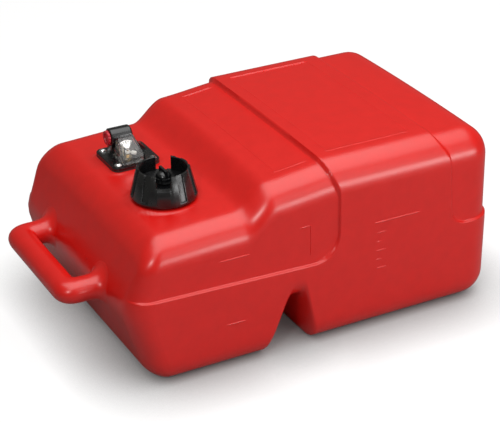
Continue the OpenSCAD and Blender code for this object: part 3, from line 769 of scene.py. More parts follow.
@dataclass
class TankMoulding:
    """The blow moulded tank: tub, decks, rise and band, as one smooth skin."""

    # overall form
    nose_x: float = -220.0
    rear_x: float = 274.0
    half_w: float = 168.45
    band_h: float = 232.78
    crown: float = 2.5
    draft: float = 0.014
    parting_h: float = 102.0
    # edge radii of the tub, and how much tighter those of the inset panels are
    shoulder_r: float = 38.0
    foot_r: float = 32.0
    rear_r: float = 36.0
    nose_r: float = 28.0
    nose_panel_r: float = 22.0
    nose_panel_drop: float = 26.0
    nose_panel_side: float = 14.0
    shoulder_less: float = 3.0
    rear_less: float = 4.0
    least_r: float = 3.0
    # the leaning front face
    setback_top: float = 38.0
    setback_foot: float = 34.0
    crease: float = 12.0
    lean_l: float = 130.0
    # decks and rise
    deck_h: float = 188.0
    deck_slope: float = 0.035
    rise_x: float = -72.0
    rise_l: float = 42.0
    band_step: float = 4.5
    mid_fall: float = 9.5
    # band, panels and the ledge under them
    inset: float = 3.5
    softness: float = 0.8
    band_x: float = 50.0
    band_end_x: float = 208.0
    front_lean: float = 13.0
    rear_lean: float = 19.0
    rear_bend: Place = (4.0, 12.0)
    ledge_h: float = 118.5
    ledge_slope: float = 0.03
    rear_ledge_h: float = 114.0
    ledge_run: float = 60.0
    front_corner_r: float = 34.0
    rear_corner_r: float = 22.0
    nose_round: Place = (10.5, 6.0)
    nose_fade: float = 46.0
    # strap channel: start, front slope, roof and rear slope
    channel: tuple[float, float, float, float] = (-46.0, 38.0, 10.0, 20.0)
    channel_h: float = 67.0
    channel_r: float = 30.0
    # seats of the cap and the fitting: their edge starts inside them and runs outward, and they
    # reach a little past the rise's foot and down from their own height
    seat_h: float = 190.0
    filler: Place = (-126.0, -62.0)
    fitting: Place = (-122.0, 49.0)
    filler_r: float = 42.3
    pad_half: float = 33.2
    pad_r: float = 11.0
    seat_edge: Place = (-1.5, 4.5)
    seat_zone: Place = (20.0, 25.0)
    # grid lines: across the top, along the tank, and above and below the ledge
    top_zones: tuple[Point, ...] = ((0.0, 14.0, 4.7), (14.0, 108.0, 2.0), (108.0, 130.5, 7.5))
    long_zones: tuple[Point, ...] = (
        (-192.0, -172.0, 5.0), (-172.0, -80.0, 2.0), (-80.0, -46.0, 3.0), (-46.0, 22.0, 2.5),
        (22.0, 30.0, 2.0), (30.0, 44.0, 1.2), (44.0, 53.0, 0.7), (53.0, 184.0, 6.5), (184.0, 236.0, 1.3))
    ledge_zone: Point = (42.0, 3.0, 6.0)
    # steps from the shoulder down; points on the shoulder, the lower edge and the underside
    side_steps: tuple[int, int, int, int] = (6, 18, 12, 8)
    section_points: tuple[int, int, int] = (15, 10, 7)
    # rings round the two ends, and first scale, last scale and count of those on the end faces
    corner_rings: int = 11
    nose_scales: tuple[float, float, int] = (0.02, 0.98, 22)
    tail_scales: tuple[tuple[float, float, int], ...] = (
        (0.985, 0.14, 44), (0.125, 0.065, 13), (0.03, 0.03, 1))
    outline: np.ndarray = field(init=False)

    def __post_init__(self) -> None:
        """Work out the side view of the proud surface."""
        self.outline = self._outline()

    def body_top(self, x: float) -> float:
        """Height of the decks on the centre line.

        Args:
            x: place along the tank.

        Returns:
            The height.
        """
        rise = float(eased(x, self.rise_x, self.rise_l))
        along = min(x, self.rise_x + self.rise_l) - self.nose_x - self.setback_top
        front = self.deck_h + self.deck_slope * along
        run = float(eased(x, self.rise_x + self.rise_l / 2, self.band_x - self.rise_x))
        middle = self.band_h - self.band_step - self.mid_fall * (1 - run)
        return (1 - rise) * front + rise * middle

    def in_channel(self, x: float) -> float:
        """How far a place lies in the strap channel, from 0 to 1."""
        start, front, roof, rear = self.channel
        return float(eased(x, start, front) - eased(x, start + front + roof, rear))

    def setback(self, z: np.ndarray) -> np.ndarray:
        """How far the front face lies behind the parting line.

        Args:
            z: heights.

        Returns:
            The distances.
        """
        u = np.asarray(z, float) - self.parting_h
        bent = np.sqrt(u * u + self.crease ** 2) - self.crease
        return bent * np.where(u > 0, self.setback_top / (self.deck_h - self.parting_h),
                               self.setback_foot / self.parting_h)

    def wall_y(self, half_w: float, z: float) -> float:
        """Half width of an upright wall with its draft at a height."""
        return half_w * (1 - self.draft * abs(z - self.parting_h) / self.half_w)

    def ledge(self, x: float) -> float:
        """Height of the panels' lower edges.

        Args:
            x: place along the tank.

        Returns:
            The height.
        """
        front = self.ledge_h - self.ledge_slope * (x - self.nose_x)
        blend = float(eased(x, self.band_x, self.ledge_run))
        return (1 - blend) * front + blend * self.rear_ledge_h

    def _outline(self) -> np.ndarray:
        """Closed side view of the tub and the band, drawn past the moulding's ends.

        Returns:
            Points (x, z).
        """
        past = 60.0
        far, high, side_edge = 2 * self.rear_x, self.band_h + past, self.band_h - self.shoulder_r
        tilt = math.atan(self.ledge_slope)
        rear_r, front_r = self.rear_corner_r, self.front_corner_r
        front_x = self.band_x - front_r
        front_z = self.ledge_h - self.ledge_slope * (front_x - self.nose_x) + front_r / math.cos(tilt)
        bend_x, bend_z = self.rear_bend
        rear_top = self.band_end_x - self.rear_lean
        front_top = self.band_x - self.front_lean
        return np.array([
            (-far, -past), (far, -past), (far, self.rear_ledge_h),
            *arc((self.band_end_x + rear_r, self.rear_ledge_h + rear_r), rear_r,
                 1.5 * math.pi, math.pi, 12),
            (self.band_end_x - bend_x, side_edge + bend_z), (rear_top, self.band_h), (rear_top, high),
            (front_top, high), (front_top, self.band_h), (self.band_x, side_edge),
            *arc((front_x, front_z), front_r, 0.0, -math.pi / 2 - tilt, 16),
            (-far, self.ledge_h - self.ledge_slope * (-far - self.nose_x))])

    def proud(self, x: np.ndarray, z: np.ndarray) -> np.ndarray:
        """How far points belong to the raised surface.

        Args:
            x: places along the tank.
            z: heights.

        Returns:
            0 on the inset panels, 1 on the tub and the band, and a soft step between.
        """
        start, end = self.outline, np.roll(self.outline, -1, axis=0)
        p = np.stack([x, z], -1)[:, None, :]
        edge = (end - start)[None]
        t = np.clip(((p - start[None]) * edge).sum(-1) / (edge ** 2).sum(-1), 0, 1)
        near = np.linalg.norm(p - start[None] - t[..., None] * edge, axis=-1).min(1)
        above = (start[None, :, 1] > z[:, None]) != (end[None, :, 1] > z[:, None])
        with np.errstate(divide="ignore", invalid="ignore"):
            cross = start[None, :, 0] + (z[:, None] - start[None, :, 1]) * edge[..., 0] / edge[..., 1]
        inside = ((above & (x[:, None] < cross)).sum(1) % 2) == 1
        signed = np.where(inside, near, -near)
        return eased(signed / self.softness, -1, 2)

    def _side_lines(self, start: float, stop: float, ledge: float, cap: float) -> np.ndarray:
        """Heights of the side's grid lines, crowded round the ledge.

        Args:
            start: where the shoulder ends.
            stop: where the lower edge's rounding starts.
            ledge: the panel's lower edge.
            cap: the highest line of the crowded part.

        Returns:
            The heights, from the top down.
        """
        over, close, below = self.ledge_zone
        high = min(ledge + over, cap - 1)
        upper = max(min(ledge + close, high - 2), stop + below)
        ends = (start, high, upper, upper - below, stop)
        return np.concatenate([np.linspace(a, b, count, endpoint=False)
                               for a, b, count in zip(ends, ends[1:], self.side_steps)])[1:]

    def _half(self, w: float, top: float, low: float, top_r: float, low_r: float,
              ledge: float, cap: float) -> np.ndarray:
        """Half a cross-section from the top's middle to the underside's middle.

        Args:
            w: half width.
            top: height of the top.
            low: height of the underside.
            top_r: shoulder radius.
            low_r: lower edge radius.
            ledge: height that the side's lines crowd round.
            cap: the highest crowded line.

        Returns:
            Points (y, z).
        """
        flat = np.array(graded(self.top_zones)) / self.top_zones[-1][1] * (w - top_r)
        fall = self.crown * (1 - top_r / w) ** 2
        shoulder, edge, floor = self.section_points
        a = np.radians(np.linspace(90, 0, shoulder))
        b = np.radians(np.linspace(0, -90, edge))
        side = self._side_lines(top - fall - top_r, low + low_r, ledge, cap)
        under = np.linspace(w - low_r, 0, floor)[1:]
        return np.vstack([
            np.stack([flat, top - self.crown * flat ** 2 / w ** 2], -1),
            np.stack([w - top_r + top_r * np.cos(a), top - fall - top_r + top_r * np.sin(a)], -1),
            np.stack([np.full(len(side), w), side], -1),
            np.stack([w - low_r + low_r * np.cos(b), low + low_r + low_r * np.sin(b)], -1),
            np.stack([under, np.full(len(under), low)], -1)])

    def _ring(self, x: Place, drawn: Point, shrink: float = 1.0, nose: Place = (0.0, 0.0)) -> np.ndarray:
        """One ring of the skin.

        Args:
            x: places along the tank of the inset and the proud surface.
            drawn: how far the section is drawn in: inset side, inset top, proud all round.
            shrink: scale about the parting line.
            nose: how far the low part of the inset surface is drawn in to the tub, sideways and along.

        Returns:
            Points (x, y, z), in millimetres.
        """
        side, top_in, even = drawn
        ledge = self.ledge(x[1])
        channel = self.in_channel(x[1])
        low = self.channel_h * channel + even
        low_r = max(self.foot_r - (self.foot_r - self.channel_r) * channel - even, self.least_r)
        inset_r = max(self.shoulder_r - self.shoulder_less - max(side, top_in), self.least_r)
        w, top = self.half_w - self.inset, self.body_top(x[0])
        cap = top - top_in - inset_r - self.crown
        inset = self._half(w - side, top - top_in, low, inset_r, low_r, ledge, cap)
        full = self._half(self.half_w - even, self.band_h - even, low,
                          max(self.shoulder_r - even, self.least_r), low_r, ledge, cap)
        halves = []
        for place, half, width, share in ((x[0], inset, w, 1.0), (x[1], full, self.half_w, 0.0)):
            z = self.parting_h + shrink * (half[:, 1] - self.parting_h)
            low_down = share * (1 - eased(z, ledge, self.nose_fade))
            y = shrink * half[:, 0] * (1 - self.draft * np.abs(z - self.parting_h) / width)
            y = y * (1 - nose[0] * low_down / width)
            fade = 1 - eased(place, self.nose_x, self.lean_l)
            halves.append(np.stack([place + nose[1] * low_down + fade * self.setback(z), y, z], -1))
        mean = (halves[0] + halves[1]) / 2
        share = self.proud(mean[:, 0], mean[:, 2])[:, None]
        half = halves[0] * (1 - share) + halves[1] * share
        back = half[1:-1][::-1] * np.array([1, -1, 1])
        return np.vstack([half, back])

    def _nose(self) -> list[np.ndarray]:
        """Make the front face and its rounding.

        Returns:
            The rings.
        """
        front, edge, panel = self.nose_x, self.nose_r, self.nose_panel_r
        side, along = self.nose_round
        drawn = np.array([self.nose_panel_side, self.nose_panel_drop, edge])
        rings = [self._ring((front, front), tuple(drawn), s, (side, 0.0))
                 for s in np.linspace(*self.nose_scales)]
        for a in np.radians(np.linspace(0, 90, self.corner_rings)):
            c, k = 1 - math.cos(a), 1 - math.sin(a)
            rings.append(self._ring((front + panel * c, front + edge * c), tuple(k * drawn),
                                    nose=(side * k, along * c)))
        return rings

    def _tail(self) -> list[np.ndarray]:
        """Make the rear rounding, and a rear wall that is fine enough for the ledge to cross it.

        Returns:
            The rings.
        """
        inner, rear, r = self.rear_x - self.inset, self.rear_x, self.rear_r
        drawn = np.array([r - self.rear_less, r - self.rear_less, r])
        rings = []
        for a in np.radians(np.linspace(90, 0, self.corner_rings)):
            c, k = 1 - math.cos(a), 1 - math.sin(a)
            rings.append(self._ring((inner - drawn[0] * c, rear - r * c), tuple(k * drawn)))
        return rings + [self._ring((inner, rear), tuple(drawn), s)
                        for scales in self.tail_scales for s in np.linspace(*scales)]

    def _press_seats(self, points: np.ndarray) -> np.ndarray:
        """Press the round seat and the square pad flat into the front deck.

        Args:
            points: points of the skin.

        Returns:
            The changed points.
        """
        x, y, z = points.T
        upper = (z > self.seat_h - self.seat_zone[1]) & (x < self.rise_x + self.seat_zone[0])
        round_gap = np.hypot(x - self.filler[0], y - self.filler[1]) - self.filler_r
        across = np.abs(np.stack([x - self.fitting[0], y - self.fitting[1]]))
        square_gap = np.hypot(*np.maximum(across - (self.pad_half - self.pad_r), 0)) - self.pad_r
        at, run = self.seat_edge
        share = (1 - eased(np.minimum(round_gap, square_gap), at, run)) * upper
        out = points.copy()
        out[:, 2] = z * (1 - share) + self.seat_h * share
        return out

    def top_point(self, x: float, y: float) -> Point:
        """Point on the upper decks.

        Args:
            x: place along the tank.
            y: place across it.

        Returns:
            The point.
        """
        inset = self.body_top(x) - self.crown * y ** 2 / (self.half_w - self.inset) ** 2
        full = self.band_h - self.crown * y ** 2 / self.half_w ** 2
        share = float(self.proud(np.array([x]), np.array([(inset + full) / 2]))[0])
        return x, y, inset * (1 - share) + full * share

    def side_point(self, x: float, z: float, hand: int) -> Point:
        """Point on a side wall.

        Args:
            x: place along the tank.
            z: height.
            hand: -1 for the near side and 1 for the far side.

        Returns:
            The point.
        """
        share = float(self.proud(np.array([x]), np.array([z]))[0])
        return x, hand * self.wall_y(self.half_w - self.inset * (1 - share), z), z

    def build(self) -> list[bpy.types.Object]:
        """Build the skin.

        Returns:
            The skin alone.
        """
        middle = [self._ring((x, x), (0.0, 0.0, 0.0)) for x in graded(self.long_zones)]
        rings = [self._press_seats(ring) for ring in self._nose() + middle + self._tail()]
        skin = skinned("tank_skin", rings, RED, sharp=70.0)
        return [settle(skin, Body.TANK, "tank_body", slot="tank_plastic")]


@dataclass
class CarryHandle:
    """The handle at the low end, whose roots swell into the front face."""

    tank: TankMoulding
    grip_w: float = 32.0
    grip_t: float = 29.0
    arm_y: float = 76.0
    grip_h: float = 104.0
    grip_x: float = -258.0
    corner_r: float = 18.5
    corner_bulge: float = 2.4
    splay: float = 1.2
    root_l: float = 15.0
    root_w: float = 9.0
    root_h: float = 14.0
    root_flare: float = 1.35
    root_sink: float = 5.0
    root_lap: float = 0.08
    corner_rings: int = 13
    arm_shares: Place = (0.33, 0.66)
    grip_places: Point = (45.0, 30.0, 15.0)
    points_round: int = 48

    @property
    def knee(self) -> float:
        """Where the arms turn into the grip."""
        return self.grip_x + self.corner_r

    def _arm(self, x: float) -> float:
        """How far out the arm's centre lies at a place along the tank."""
        return self.arm_y + self.splay * (x - self.knee) / (self.tank.nose_x - self.knee)

    def _section(self, centre: Place, heading: float, grow: Place) -> np.ndarray:
        """One oval section.

        Args:
            centre: its middle, seen from above.
            heading: direction of the handle there, in radians.
            grow: how much wider and taller it is than the grip, on each side.

        Returns:
            Points (x, y, z).
        """
        around = np.radians(np.linspace(0, 360, self.points_round, endpoint=False))
        across = (self.grip_w / 2 + grow[0]) * np.cos(around)
        up = (self.grip_t / 2 + grow[1]) * np.sin(around)
        return np.stack([centre[0] - across * math.sin(heading), centre[1] + across * math.cos(heading),
                         self.grip_h + up], -1)

    def _root(self) -> list[np.ndarray]:
        """Make one root, from inside the front face out to the plain arm.

        Returns:
            The rings.
        """
        rings = []
        for k, turn in enumerate(np.radians([90.0, *np.linspace(90, 0, self.corner_rings)])):
            swell = (1 - math.cos(turn)) ** self.root_flare
            stand = self.root_l * (1 - math.sin(turn))
            near = 1 - stand / self.root_l
            ring = self._section((0.0, self._arm(self.tank.nose_x - stand)), math.pi,
                                 (self.root_w * swell, self.root_h * swell))
            sunk = self.root_sink if k == 0 else self.root_lap * near
            ring[:, 0] = self.tank.nose_x + self.tank.setback(ring[:, 2]) * near - stand + sunk
            rings.append(ring)
        return rings

    def _arm_and_corner(self) -> list[np.ndarray]:
        """Make the free arm, its corner and half the grip.

        Returns:
            The rings.
        """
        start = self.tank.nose_x - self.root_l
        rings = []
        for share in self.arm_shares:
            x = start + (self.knee - start) * share
            rings.append(self._section((x, self._arm(x)), math.pi, (0.0, 0.0)))
        for a in np.radians(np.linspace(0, 90, self.corner_rings)):
            bulge = self.corner_bulge * math.sin(2 * a) ** 2
            reach = self.corner_r + bulge
            centre = (self.knee - reach * math.sin(a), self.arm_y - self.corner_r + reach * math.cos(a))
            rings.append(self._section(centre, math.pi + a, (bulge, 0.0)))
        return rings + [self._section((self.grip_x, y), 1.5 * math.pi, (0.0, 0.0))
                        for y in self.grip_places]

    def build(self) -> list[bpy.types.Object]:
        """Build the handle from one half and its mirror image.

        Returns:
            The handle alone.
        """
        half = self._root() + self._arm_and_corner()
        middle = self._section((self.grip_x, 0.0), 1.5 * math.pi, (0.0, 0.0))
        other = [ring * np.array([1, -1, 1]) for ring in half[::-1]]
        handle = skinned("tank_handle", [*half, middle, *other], RED, sharp=70.0)
        return [settle(handle, Body.TANK, "tank_body", slot="tank_plastic")]


@dataclass(frozen=True)
class Bead:
    """A low rounded bead on the skin; its two ends have a share of its full size."""

    width: float
    height: float
    end: float = 0.35
    section: tuple[Place, ...] = ((-0.5, -0.6), (-0.5, 0.0), (-0.32, 0.72), (0.0, 1.0), (0.32, 0.72),
                                  (0.5, 0.0), (0.5, -0.6))

    def lay(self, name: str, points: Sequence[Point], out: Point) -> bpy.types.Object:
        """Make the bead.

        Args:
            name: the piece's name.
            points: its centre line, on the skin.
            out: direction out of the skin.

        Returns:
            The bead.
        """
        line = np.array(points, float)
        last = len(line) - 1
        rings = []
        for k, point in enumerate(line):
            run = line[min(k + 1, last)] - line[max(k - 1, 0)]
            run /= np.linalg.norm(run)
            side = np.cross(np.array(out, float), run)
            side /= np.linalg.norm(side)
            rise = np.cross(run, side)
            size = self.end if k in (0, last) else 1.0
            rings.append(np.array([point + side * a * self.width * size + rise * b * self.height * size
                                   for a, b in self.section]))
        return settle(skinned(name, rings, RED, sharp=60.0), Body.TANK, slot="tank_plastic")


@dataclass
class RaisedLines:
    """Plain frame lines on the decks, and plain level marks with ticks on both sides."""

    tank: TankMoulding
    frame_bead: Bead = Bead(3.6, 1.3)
    frame_line: Bead = Bead(1.8, 0.22)
    level_bead: Bead = Bead(1.9, 0.85)
    bracket_bead: Bead = Bead(1.7, 0.75)
    tick_bead: Bead = Bead(1.5, 0.6)
    # front end, rear end and half width of the frames
    mid_frame: Point = (-12.0, 29.0, 122.0)
    band_frame: Point = (56.0, 170.0, 123.0)
    frame_gap: float = 4.0
    # place along the tank, height and length of the level lines
    levels: tuple[Point, ...] = ((-107.0, 146.5, 39.0), (-101.0, 63.0, 26.0), (97.0, 146.0, 64.0))
    # corner's place and height, and how far the bracket runs down and forward
    bracket: tuple[float, float, float, float] = (12.5, 163.0, 40.0, 15.0)
    # place, lowest height, highest height and count of the ticks, which are long and short in turn
    ticks: tuple[float, float, float, int] = (100.0, 84.0, 132.0, 5)
    tick_lengths: Place = (14.0, 8.0)

    def top(self, name: str, bead: Bead, corners: Sequence[Place]) -> bpy.types.Object:
        """Lay a bead on the decks through corners (x, y)."""
        return bead.lay(name, [self.tank.top_point(x, y) for x, y in spaced(corners)], (0.0, 0.0, 1.0))

    def side(self, name: str, bead: Bead, corners: Sequence[Place], hand: int) -> bpy.types.Object:
        """Lay a bead on a side wall through corners (x, z)."""
        line = [self.tank.side_point(x, z, hand) for x, z in spaced(corners)]
        return bead.lay(name, line, (0.0, float(hand), 0.0))

    def frames(self) -> list[bpy.types.Object]:
        """Make the deck frames: a bold bead on the far side, and fine lines on the others.

        Returns:
            The pieces.
        """
        pieces = []
        for name, (front, rear, side), shut in (("mid_frame", self.mid_frame, False),
                                                ("band_frame", self.band_frame, True)):
            pieces.append(self.top(f"{name}_bead", self.frame_bead, [(front, side), (rear, side)]))
            turn = [(front, side - self.frame_gap), (front, -side), (rear, -side)]
            turn += [(rear, side - self.frame_gap)] if shut else []
            pieces.append(self.top(f"{name}_line", self.frame_line, turn))
        return pieces

    def marks(self, hand: int, side: str) -> list[bpy.types.Object]:
        """Make one side's level lines, bracket and ticks.

        Args:
            hand: -1 for the near side and 1 for the far side.
            side: the side's name.

        Returns:
            The pieces.
        """
        pieces = [self.side(f"level_{side}_{k}", self.level_bead, [(x, z), (x + length, z)], hand)
                  for k, (x, z, length) in enumerate(self.levels)]
        x, z, height, foot = self.bracket
        pieces.append(self.side(f"bracket_{side}", self.bracket_bead,
                                [(x - foot, z), (x, z), (x, z - height)], hand))
        x, low, high, count = self.ticks
        for k in range(count):
            z = low + (high - low) * k / (count - 1)
            reach = self.tick_lengths[k % 2]
            pieces.append(self.side(f"scale_{side}_{k}", self.tick_bead, [(x, z), (x + reach, z)], hand))
        return pieces

    def build(self) -> list[bpy.types.Object]:
        """Build all the lines."""
        return self.frames() + self.marks(-1, "near") + self.marks(1, "far")


# ------------------------------------------------------------------------------ the cap


@dataclass
class FillerCap:
    """Neck with its thread, cap, vent knob and their seals."""

    centre: Place = (-126.0, -62.0)
    seat_h: float = 190.0
    rounding: float = 0.5
    # the neck's thread
    neck_r: float = 26.0
    thread_foot: float = 3.4
    thread_pitch: float = 5.0
    thread_turns: float = 1.35
    thread_h: float = 0.5
    thread_sink: float = 0.3
    thread_half: Place = (1.1, 0.5)
    # the skirt
    foot_z: float = 190.6
    foot_r: float = 39.5
    foot_round: float = 4.5
    rim_r: float = 31.5
    rim_edge: float = 0.7
    height: float = 37.0
    wall: float = 3.5
    deck_h: float = 14.0
    floor_h: float = 17.0
    bore_r: float = 3.3
    cup_r: Place = (26.6, 29.6)
    cup_z: float = 2.0
    steps: int = 144
    # its flutes, slots and press pad
    facing: float = -115.0
    flutes: int = 10
    flute_depth: float = 2.5
    flute_foot: float = 6.0
    flute_half: Place = (4.1, 5.0)
    slot_half: Place = (9.0, 8.75)
    slot_foot: float = 24.0
    pad_half: float = 7.75
    pad_z: Place = (13.2, 22.0)
    pad_in: float = 1.4
    pad_out: float = 1.0

    def thread(self) -> bpy.types.Object:
        """Make the neck's coarse thread, which fades out at both ends.

        Returns:
            The thread.
        """
        count = int(72 * self.thread_turns)
        sink, (foot, crest) = self.thread_sink, self.thread_half
        rings = []
        for k in range(count + 1):
            u = k / count
            a = 2 * math.pi * self.thread_turns * u
            z = self.seat_h + self.thread_foot + self.thread_pitch * self.thread_turns * u
            tall = self.thread_h * min(1.0, u * 10, (1 - u) * 10) + 0.02
            shape = [(-sink, -foot), (tall, -crest), (tall, crest), (-sink, foot)]
            rings.append(np.array([(self.centre[0] + (self.neck_r + r) * math.cos(a),
                                    self.centre[1] + (self.neck_r + r) * math.sin(a), z + h)
                                   for r, h in shape]))
        return skinned("neck_thread", rings, RED, sharp=50.0)

    def side(self, z: float) -> float:
        """The skirt's outer radius at a height above its lower rim."""
        fall = max(z - self.foot_round, 0) / (self.height - self.foot_round)
        return self.foot_r - (self.foot_r - self.rim_r) * fall

    def prism(self, low: Sequence[Point], high: Sequence[Point], turn: float = 0.0) -> bpy.types.Object:
        """Make a tool with a lower and an upper outline of the same count.

        Args:
            low: the lower outline, in the cap's own frame.
            high: the upper outline.
            turn: angle from the front slot, in degrees.

        Returns:
            The tool.
        """
        count, a = len(low), math.radians(self.facing + turn)
        faces = [tuple(range(count))[::-1], tuple(range(count, 2 * count))]
        faces += [(i, (i + 1) % count, count + (i + 1) % count, count + i) for i in range(count)]
        placed = [(self.centre[0] + x * math.cos(a) - y * math.sin(a),
                   self.centre[1] + x * math.sin(a) + y * math.cos(a), self.foot_z + z)
                  for x, y, z in (*low, *high)]
        return make_object("tool", placed, faces, BLACK)

    def block(self, x: Place, half_w: float, z: Place) -> bpy.types.Object:
        """Make an upright tool with four sides.

        Args:
            x: its reach from the axis toward the front slot.
            half_w: half its width.
            z: its foot and its top.

        Returns:
            The tool.
        """
        low, high = ([(x[0], -half_w, h), (x[1], -half_w, h), (x[1], half_w, h), (x[0], half_w, h)]
                     for h in z)
        return self.prism(low, high)

    def flute(self, turn: float) -> bpy.types.Object:
        """Make the tool for one grip flute, whose sides slope and whose foot is a small ledge.

        Args:
            turn: angle from the front slot, in degrees.

        Returns:
            The tool.
        """
        narrow, wide = self.flute_half
        over, past = 4.0, 1.2
        outlines = []
        for z in (self.flute_foot, self.height + over):
            outer, inner = self.side(z) + past, self.side(z) - self.flute_depth
            outlines.append([(inner, -narrow, z), (outer, -wide, z), (outer, wide, z), (inner, narrow, z)])
        return self.prism(outlines[0], outlines[1], turn)

    def press_pad(self) -> bpy.types.Object:
        """Make the flat pad under the front slot.

        Returns:
            The tool that is joined to the skirt.
        """
        half = self.pad_half
        faces = ((self.side(z) - self.pad_in, self.side(z) + self.pad_out, z) for z in self.pad_z)
        low, high = ([(inner, -half, z), (outer, -half, z), (outer, half, z), (inner, half, z)]
                     for inner, outer, z in faces)
        return self.prism(low, high)

    def profile(self) -> list[Place]:
        """Half section of the cap: the cup's bore, the deck, the bowl, the rim and the skirt's foot.

        Returns:
            (radius, height) pairs.
        """
        inner, outer = self.cup_r
        top, edge, foot, turn = self.height, self.rim_edge, self.foot_r, self.foot_round
        lower = self.cup_z + 0.6
        rounding = [(foot + turn * (math.cos(math.radians(a)) - 1), turn * (1 + math.sin(math.radians(a))))
                    for a in range(0, -73, -18)]
        return [(inner + 0.6, self.cup_z), (inner, lower), (inner, self.deck_h), (self.bore_r, self.deck_h),
                (self.bore_r, self.floor_h), (self.side(self.floor_h) - self.wall, self.floor_h),
                (self.rim_r - self.wall, top - edge), (self.rim_r - self.wall + edge, top),
                (self.rim_r - 0.8, top), (self.rim_r - 0.1, top - 0.8), *rounding, (foot - 4.2, 0.0),
                (foot - 4.6, 0.6), (self.side(self.deck_h) - self.wall, self.deck_h - 3),
                (outer, self.deck_h - 3), (outer, self.cup_z)]

    def skirt(self) -> bpy.types.Object:
        """Make the cap: the turned form with its flutes, slots and press pad.

        Returns:
            The cap.
        """
        past = 60.0
        cap = turned("cap_skirt", self.profile(), (*self.centre, self.foot_z), BLACK, self.steps)
        for k in range(1, self.flutes):
            combine(cap, self.flute(360 * k / self.flutes))
        front, rear = self.slot_half
        combine(cap, self.block((0.0, past), front, (self.slot_foot, past)))
        combine(cap, self.block((-past, 0.0), rear, (self.floor_h + 0.03, past)))
        combine(cap, self.press_pad(), "UNION")
        round_edges(cap, self.rounding, angle=30.0)
        return cap

    def build(self) -> list[bpy.types.Object]:
        """Build and dress the cap's pieces.

        Returns:
            The new pieces.
        """
        cap = settle(self.skirt(), Body.CAP, "cap_shell", slot="black_plastic")
        knob = softened("vent_knob", "vent_knob_dressed", BLACK, self.rounding)
        settle(knob, Body.VENT, "vent_knob", slot="black_plastic")
        thread = settle(self.thread(), Body.TANK, slot="tank_plastic")
        dress({"filler_neck": RED, "cap_seal": RUBBER, "vent_seal": RUBBER})
        return [cap, knob, thread]


# ------------------------------------------------------------------------------ the fitting


@dataclass
class FuelFitting:
    """Base plate, port, window, gauge and the pieces that hang in the tank."""

    # the gauge's axis, and the dial over the plate, behind the axis and leaning back
    gauge: Place = (-125.5, 41.0)
    plate_top: float = 196.0
    dial_up: float = 9.0
    dial_back: float = 2.0
    dial_lean: float = 50.0
    # angles in degrees; inner end and half width of a tick
    ticks: int = 5
    tick_start: float = 58.0
    tick_step: float = 16.0
    tick_rim: float = 12.0
    tick_z: Place = (0.72, 0.92)
    long_tick: Place = (8.4, 0.45)
    short_tick: Place = (9.8, 0.3)

    def dial_marks(self) -> bpy.types.Object:
        """Make the plain ticks on the dial, long ones and short ones in turn.

        Returns:
            The ticks, as one piece.
        """
        lean = Matrix.Rotation(math.radians(self.dial_lean), 3, "X")
        foot = Vector((self.gauge[0], self.gauge[1] - self.dial_back, self.plate_top + self.dial_up))
        box = ((3, 2, 1, 0), (4, 5, 6, 7), (0, 1, 5, 4), (1, 2, 6, 5), (2, 3, 7, 6), (3, 0, 4, 7))
        points: list[Point] = []
        faces: list[tuple[int, ...]] = []
        for k in range(self.ticks):
            a = math.radians(self.tick_start + self.tick_step * k)
            inner, half = self.short_tick if k % 2 else self.long_tick
            faces += [tuple(len(points) + i for i in side) for side in box]
            for z in self.tick_z:
                for r, s in ((inner, -half), (self.tick_rim, -half), (self.tick_rim, half), (inner, half)):
                    flat = Vector((r * math.cos(a) - s * math.sin(a), r * math.sin(a) + s * math.cos(a), z))
                    points.append(tuple(lean @ flat + foot))
        return make_object("dial_marks", points, faces, INK)

    def build(self) -> list[bpy.types.Object]:
        """Build and dress the fitting's pieces.

        Returns:
            The new pieces.
        """
        pieces = []
        for node, name, finish, width, segments, body, slot in (
                ("fitting_body", "fitting_base", BLACK, 0.6, 2, Body.TANK, "black_plastic"),
                ("gauge_lens", "gauge_window", WINDOW, 0.5, 3, Body.TANK, "window"),
                ("port_plug", "travel_plug", PLUG_RED, 0.3, 2, Body.PLUG, "plug_plastic"),
                ("gauge_flag", "gauge_flag_dressed", WHITE, 0.25, 2, Body.SPINDLE, "white_plastic")):
            pieces.append(settle(softened(node, name, finish, width, segments), body, node, slot=slot))
        pieces.append(settle(self.dial_marks(), Body.TANK, slot="seal_rubber"))
        dress({"tank_inserts": BRASS, "fitting_gasket": RUBBER, "fitting_screws": STEEL,
               "port_insert": BRASS, "plug_seal": RUBBER, "gauge_dial": DIAL, "gauge_spindle": BRASS,
               "spindle_bush": BRASS, "gauge_float": FOAM, "float_bush": BRASS, "guide_rod": ROD,
               "gauge_bridge": BLACK, "pickup_tube": BLACK, "pickup_strainer": CREAM})
        return pieces


# ------------------------------------------------------------------------------ the studio


@dataclass(frozen=True)
class Lamp:
    """A rectangular lamp, in metres and watts."""

    name: str
    at: Point
    target: Point
    size: Place
    watts: float

    def hang(self) -> None:
        """Hang the lamp, facing its target."""
        data = bpy.data.lights.new(self.name, "AREA")
        data.shape = "RECTANGLE"
        data.size, data.size_y = self.size
        data.energy = self.watts
        lamp = bpy.data.objects.new(self.name, data)
        bpy.context.scene.collection.objects.link(lamp)
        lamp.location = self.at
        lamp.rotation_euler = (Vector(self.target) - Vector(self.at)).to_track_quat("-Z", "Y").to_euler()


MIDDLE = (0.0, 0.0, 0.12)
LAMPS = (
    Lamp("overhead_softbox", (0.25, -0.2, 1.9), (0.25, -0.2, 0.0), (2.3, 2.1), 33.5),
    Lamp("front_panel", (0.78, -1.75, 1.42), MIDDLE, (1.3, 0.8), 4.0),
    Lamp("shoulder_strip", (1.05, -1.95, 0.52), MIDDLE, (1.4, 0.42), 13.0),
    Lamp("corner_strip", (-1.3, -1.38, 1.45), MIDDLE, (0.2, 0.2), 7.5),
)


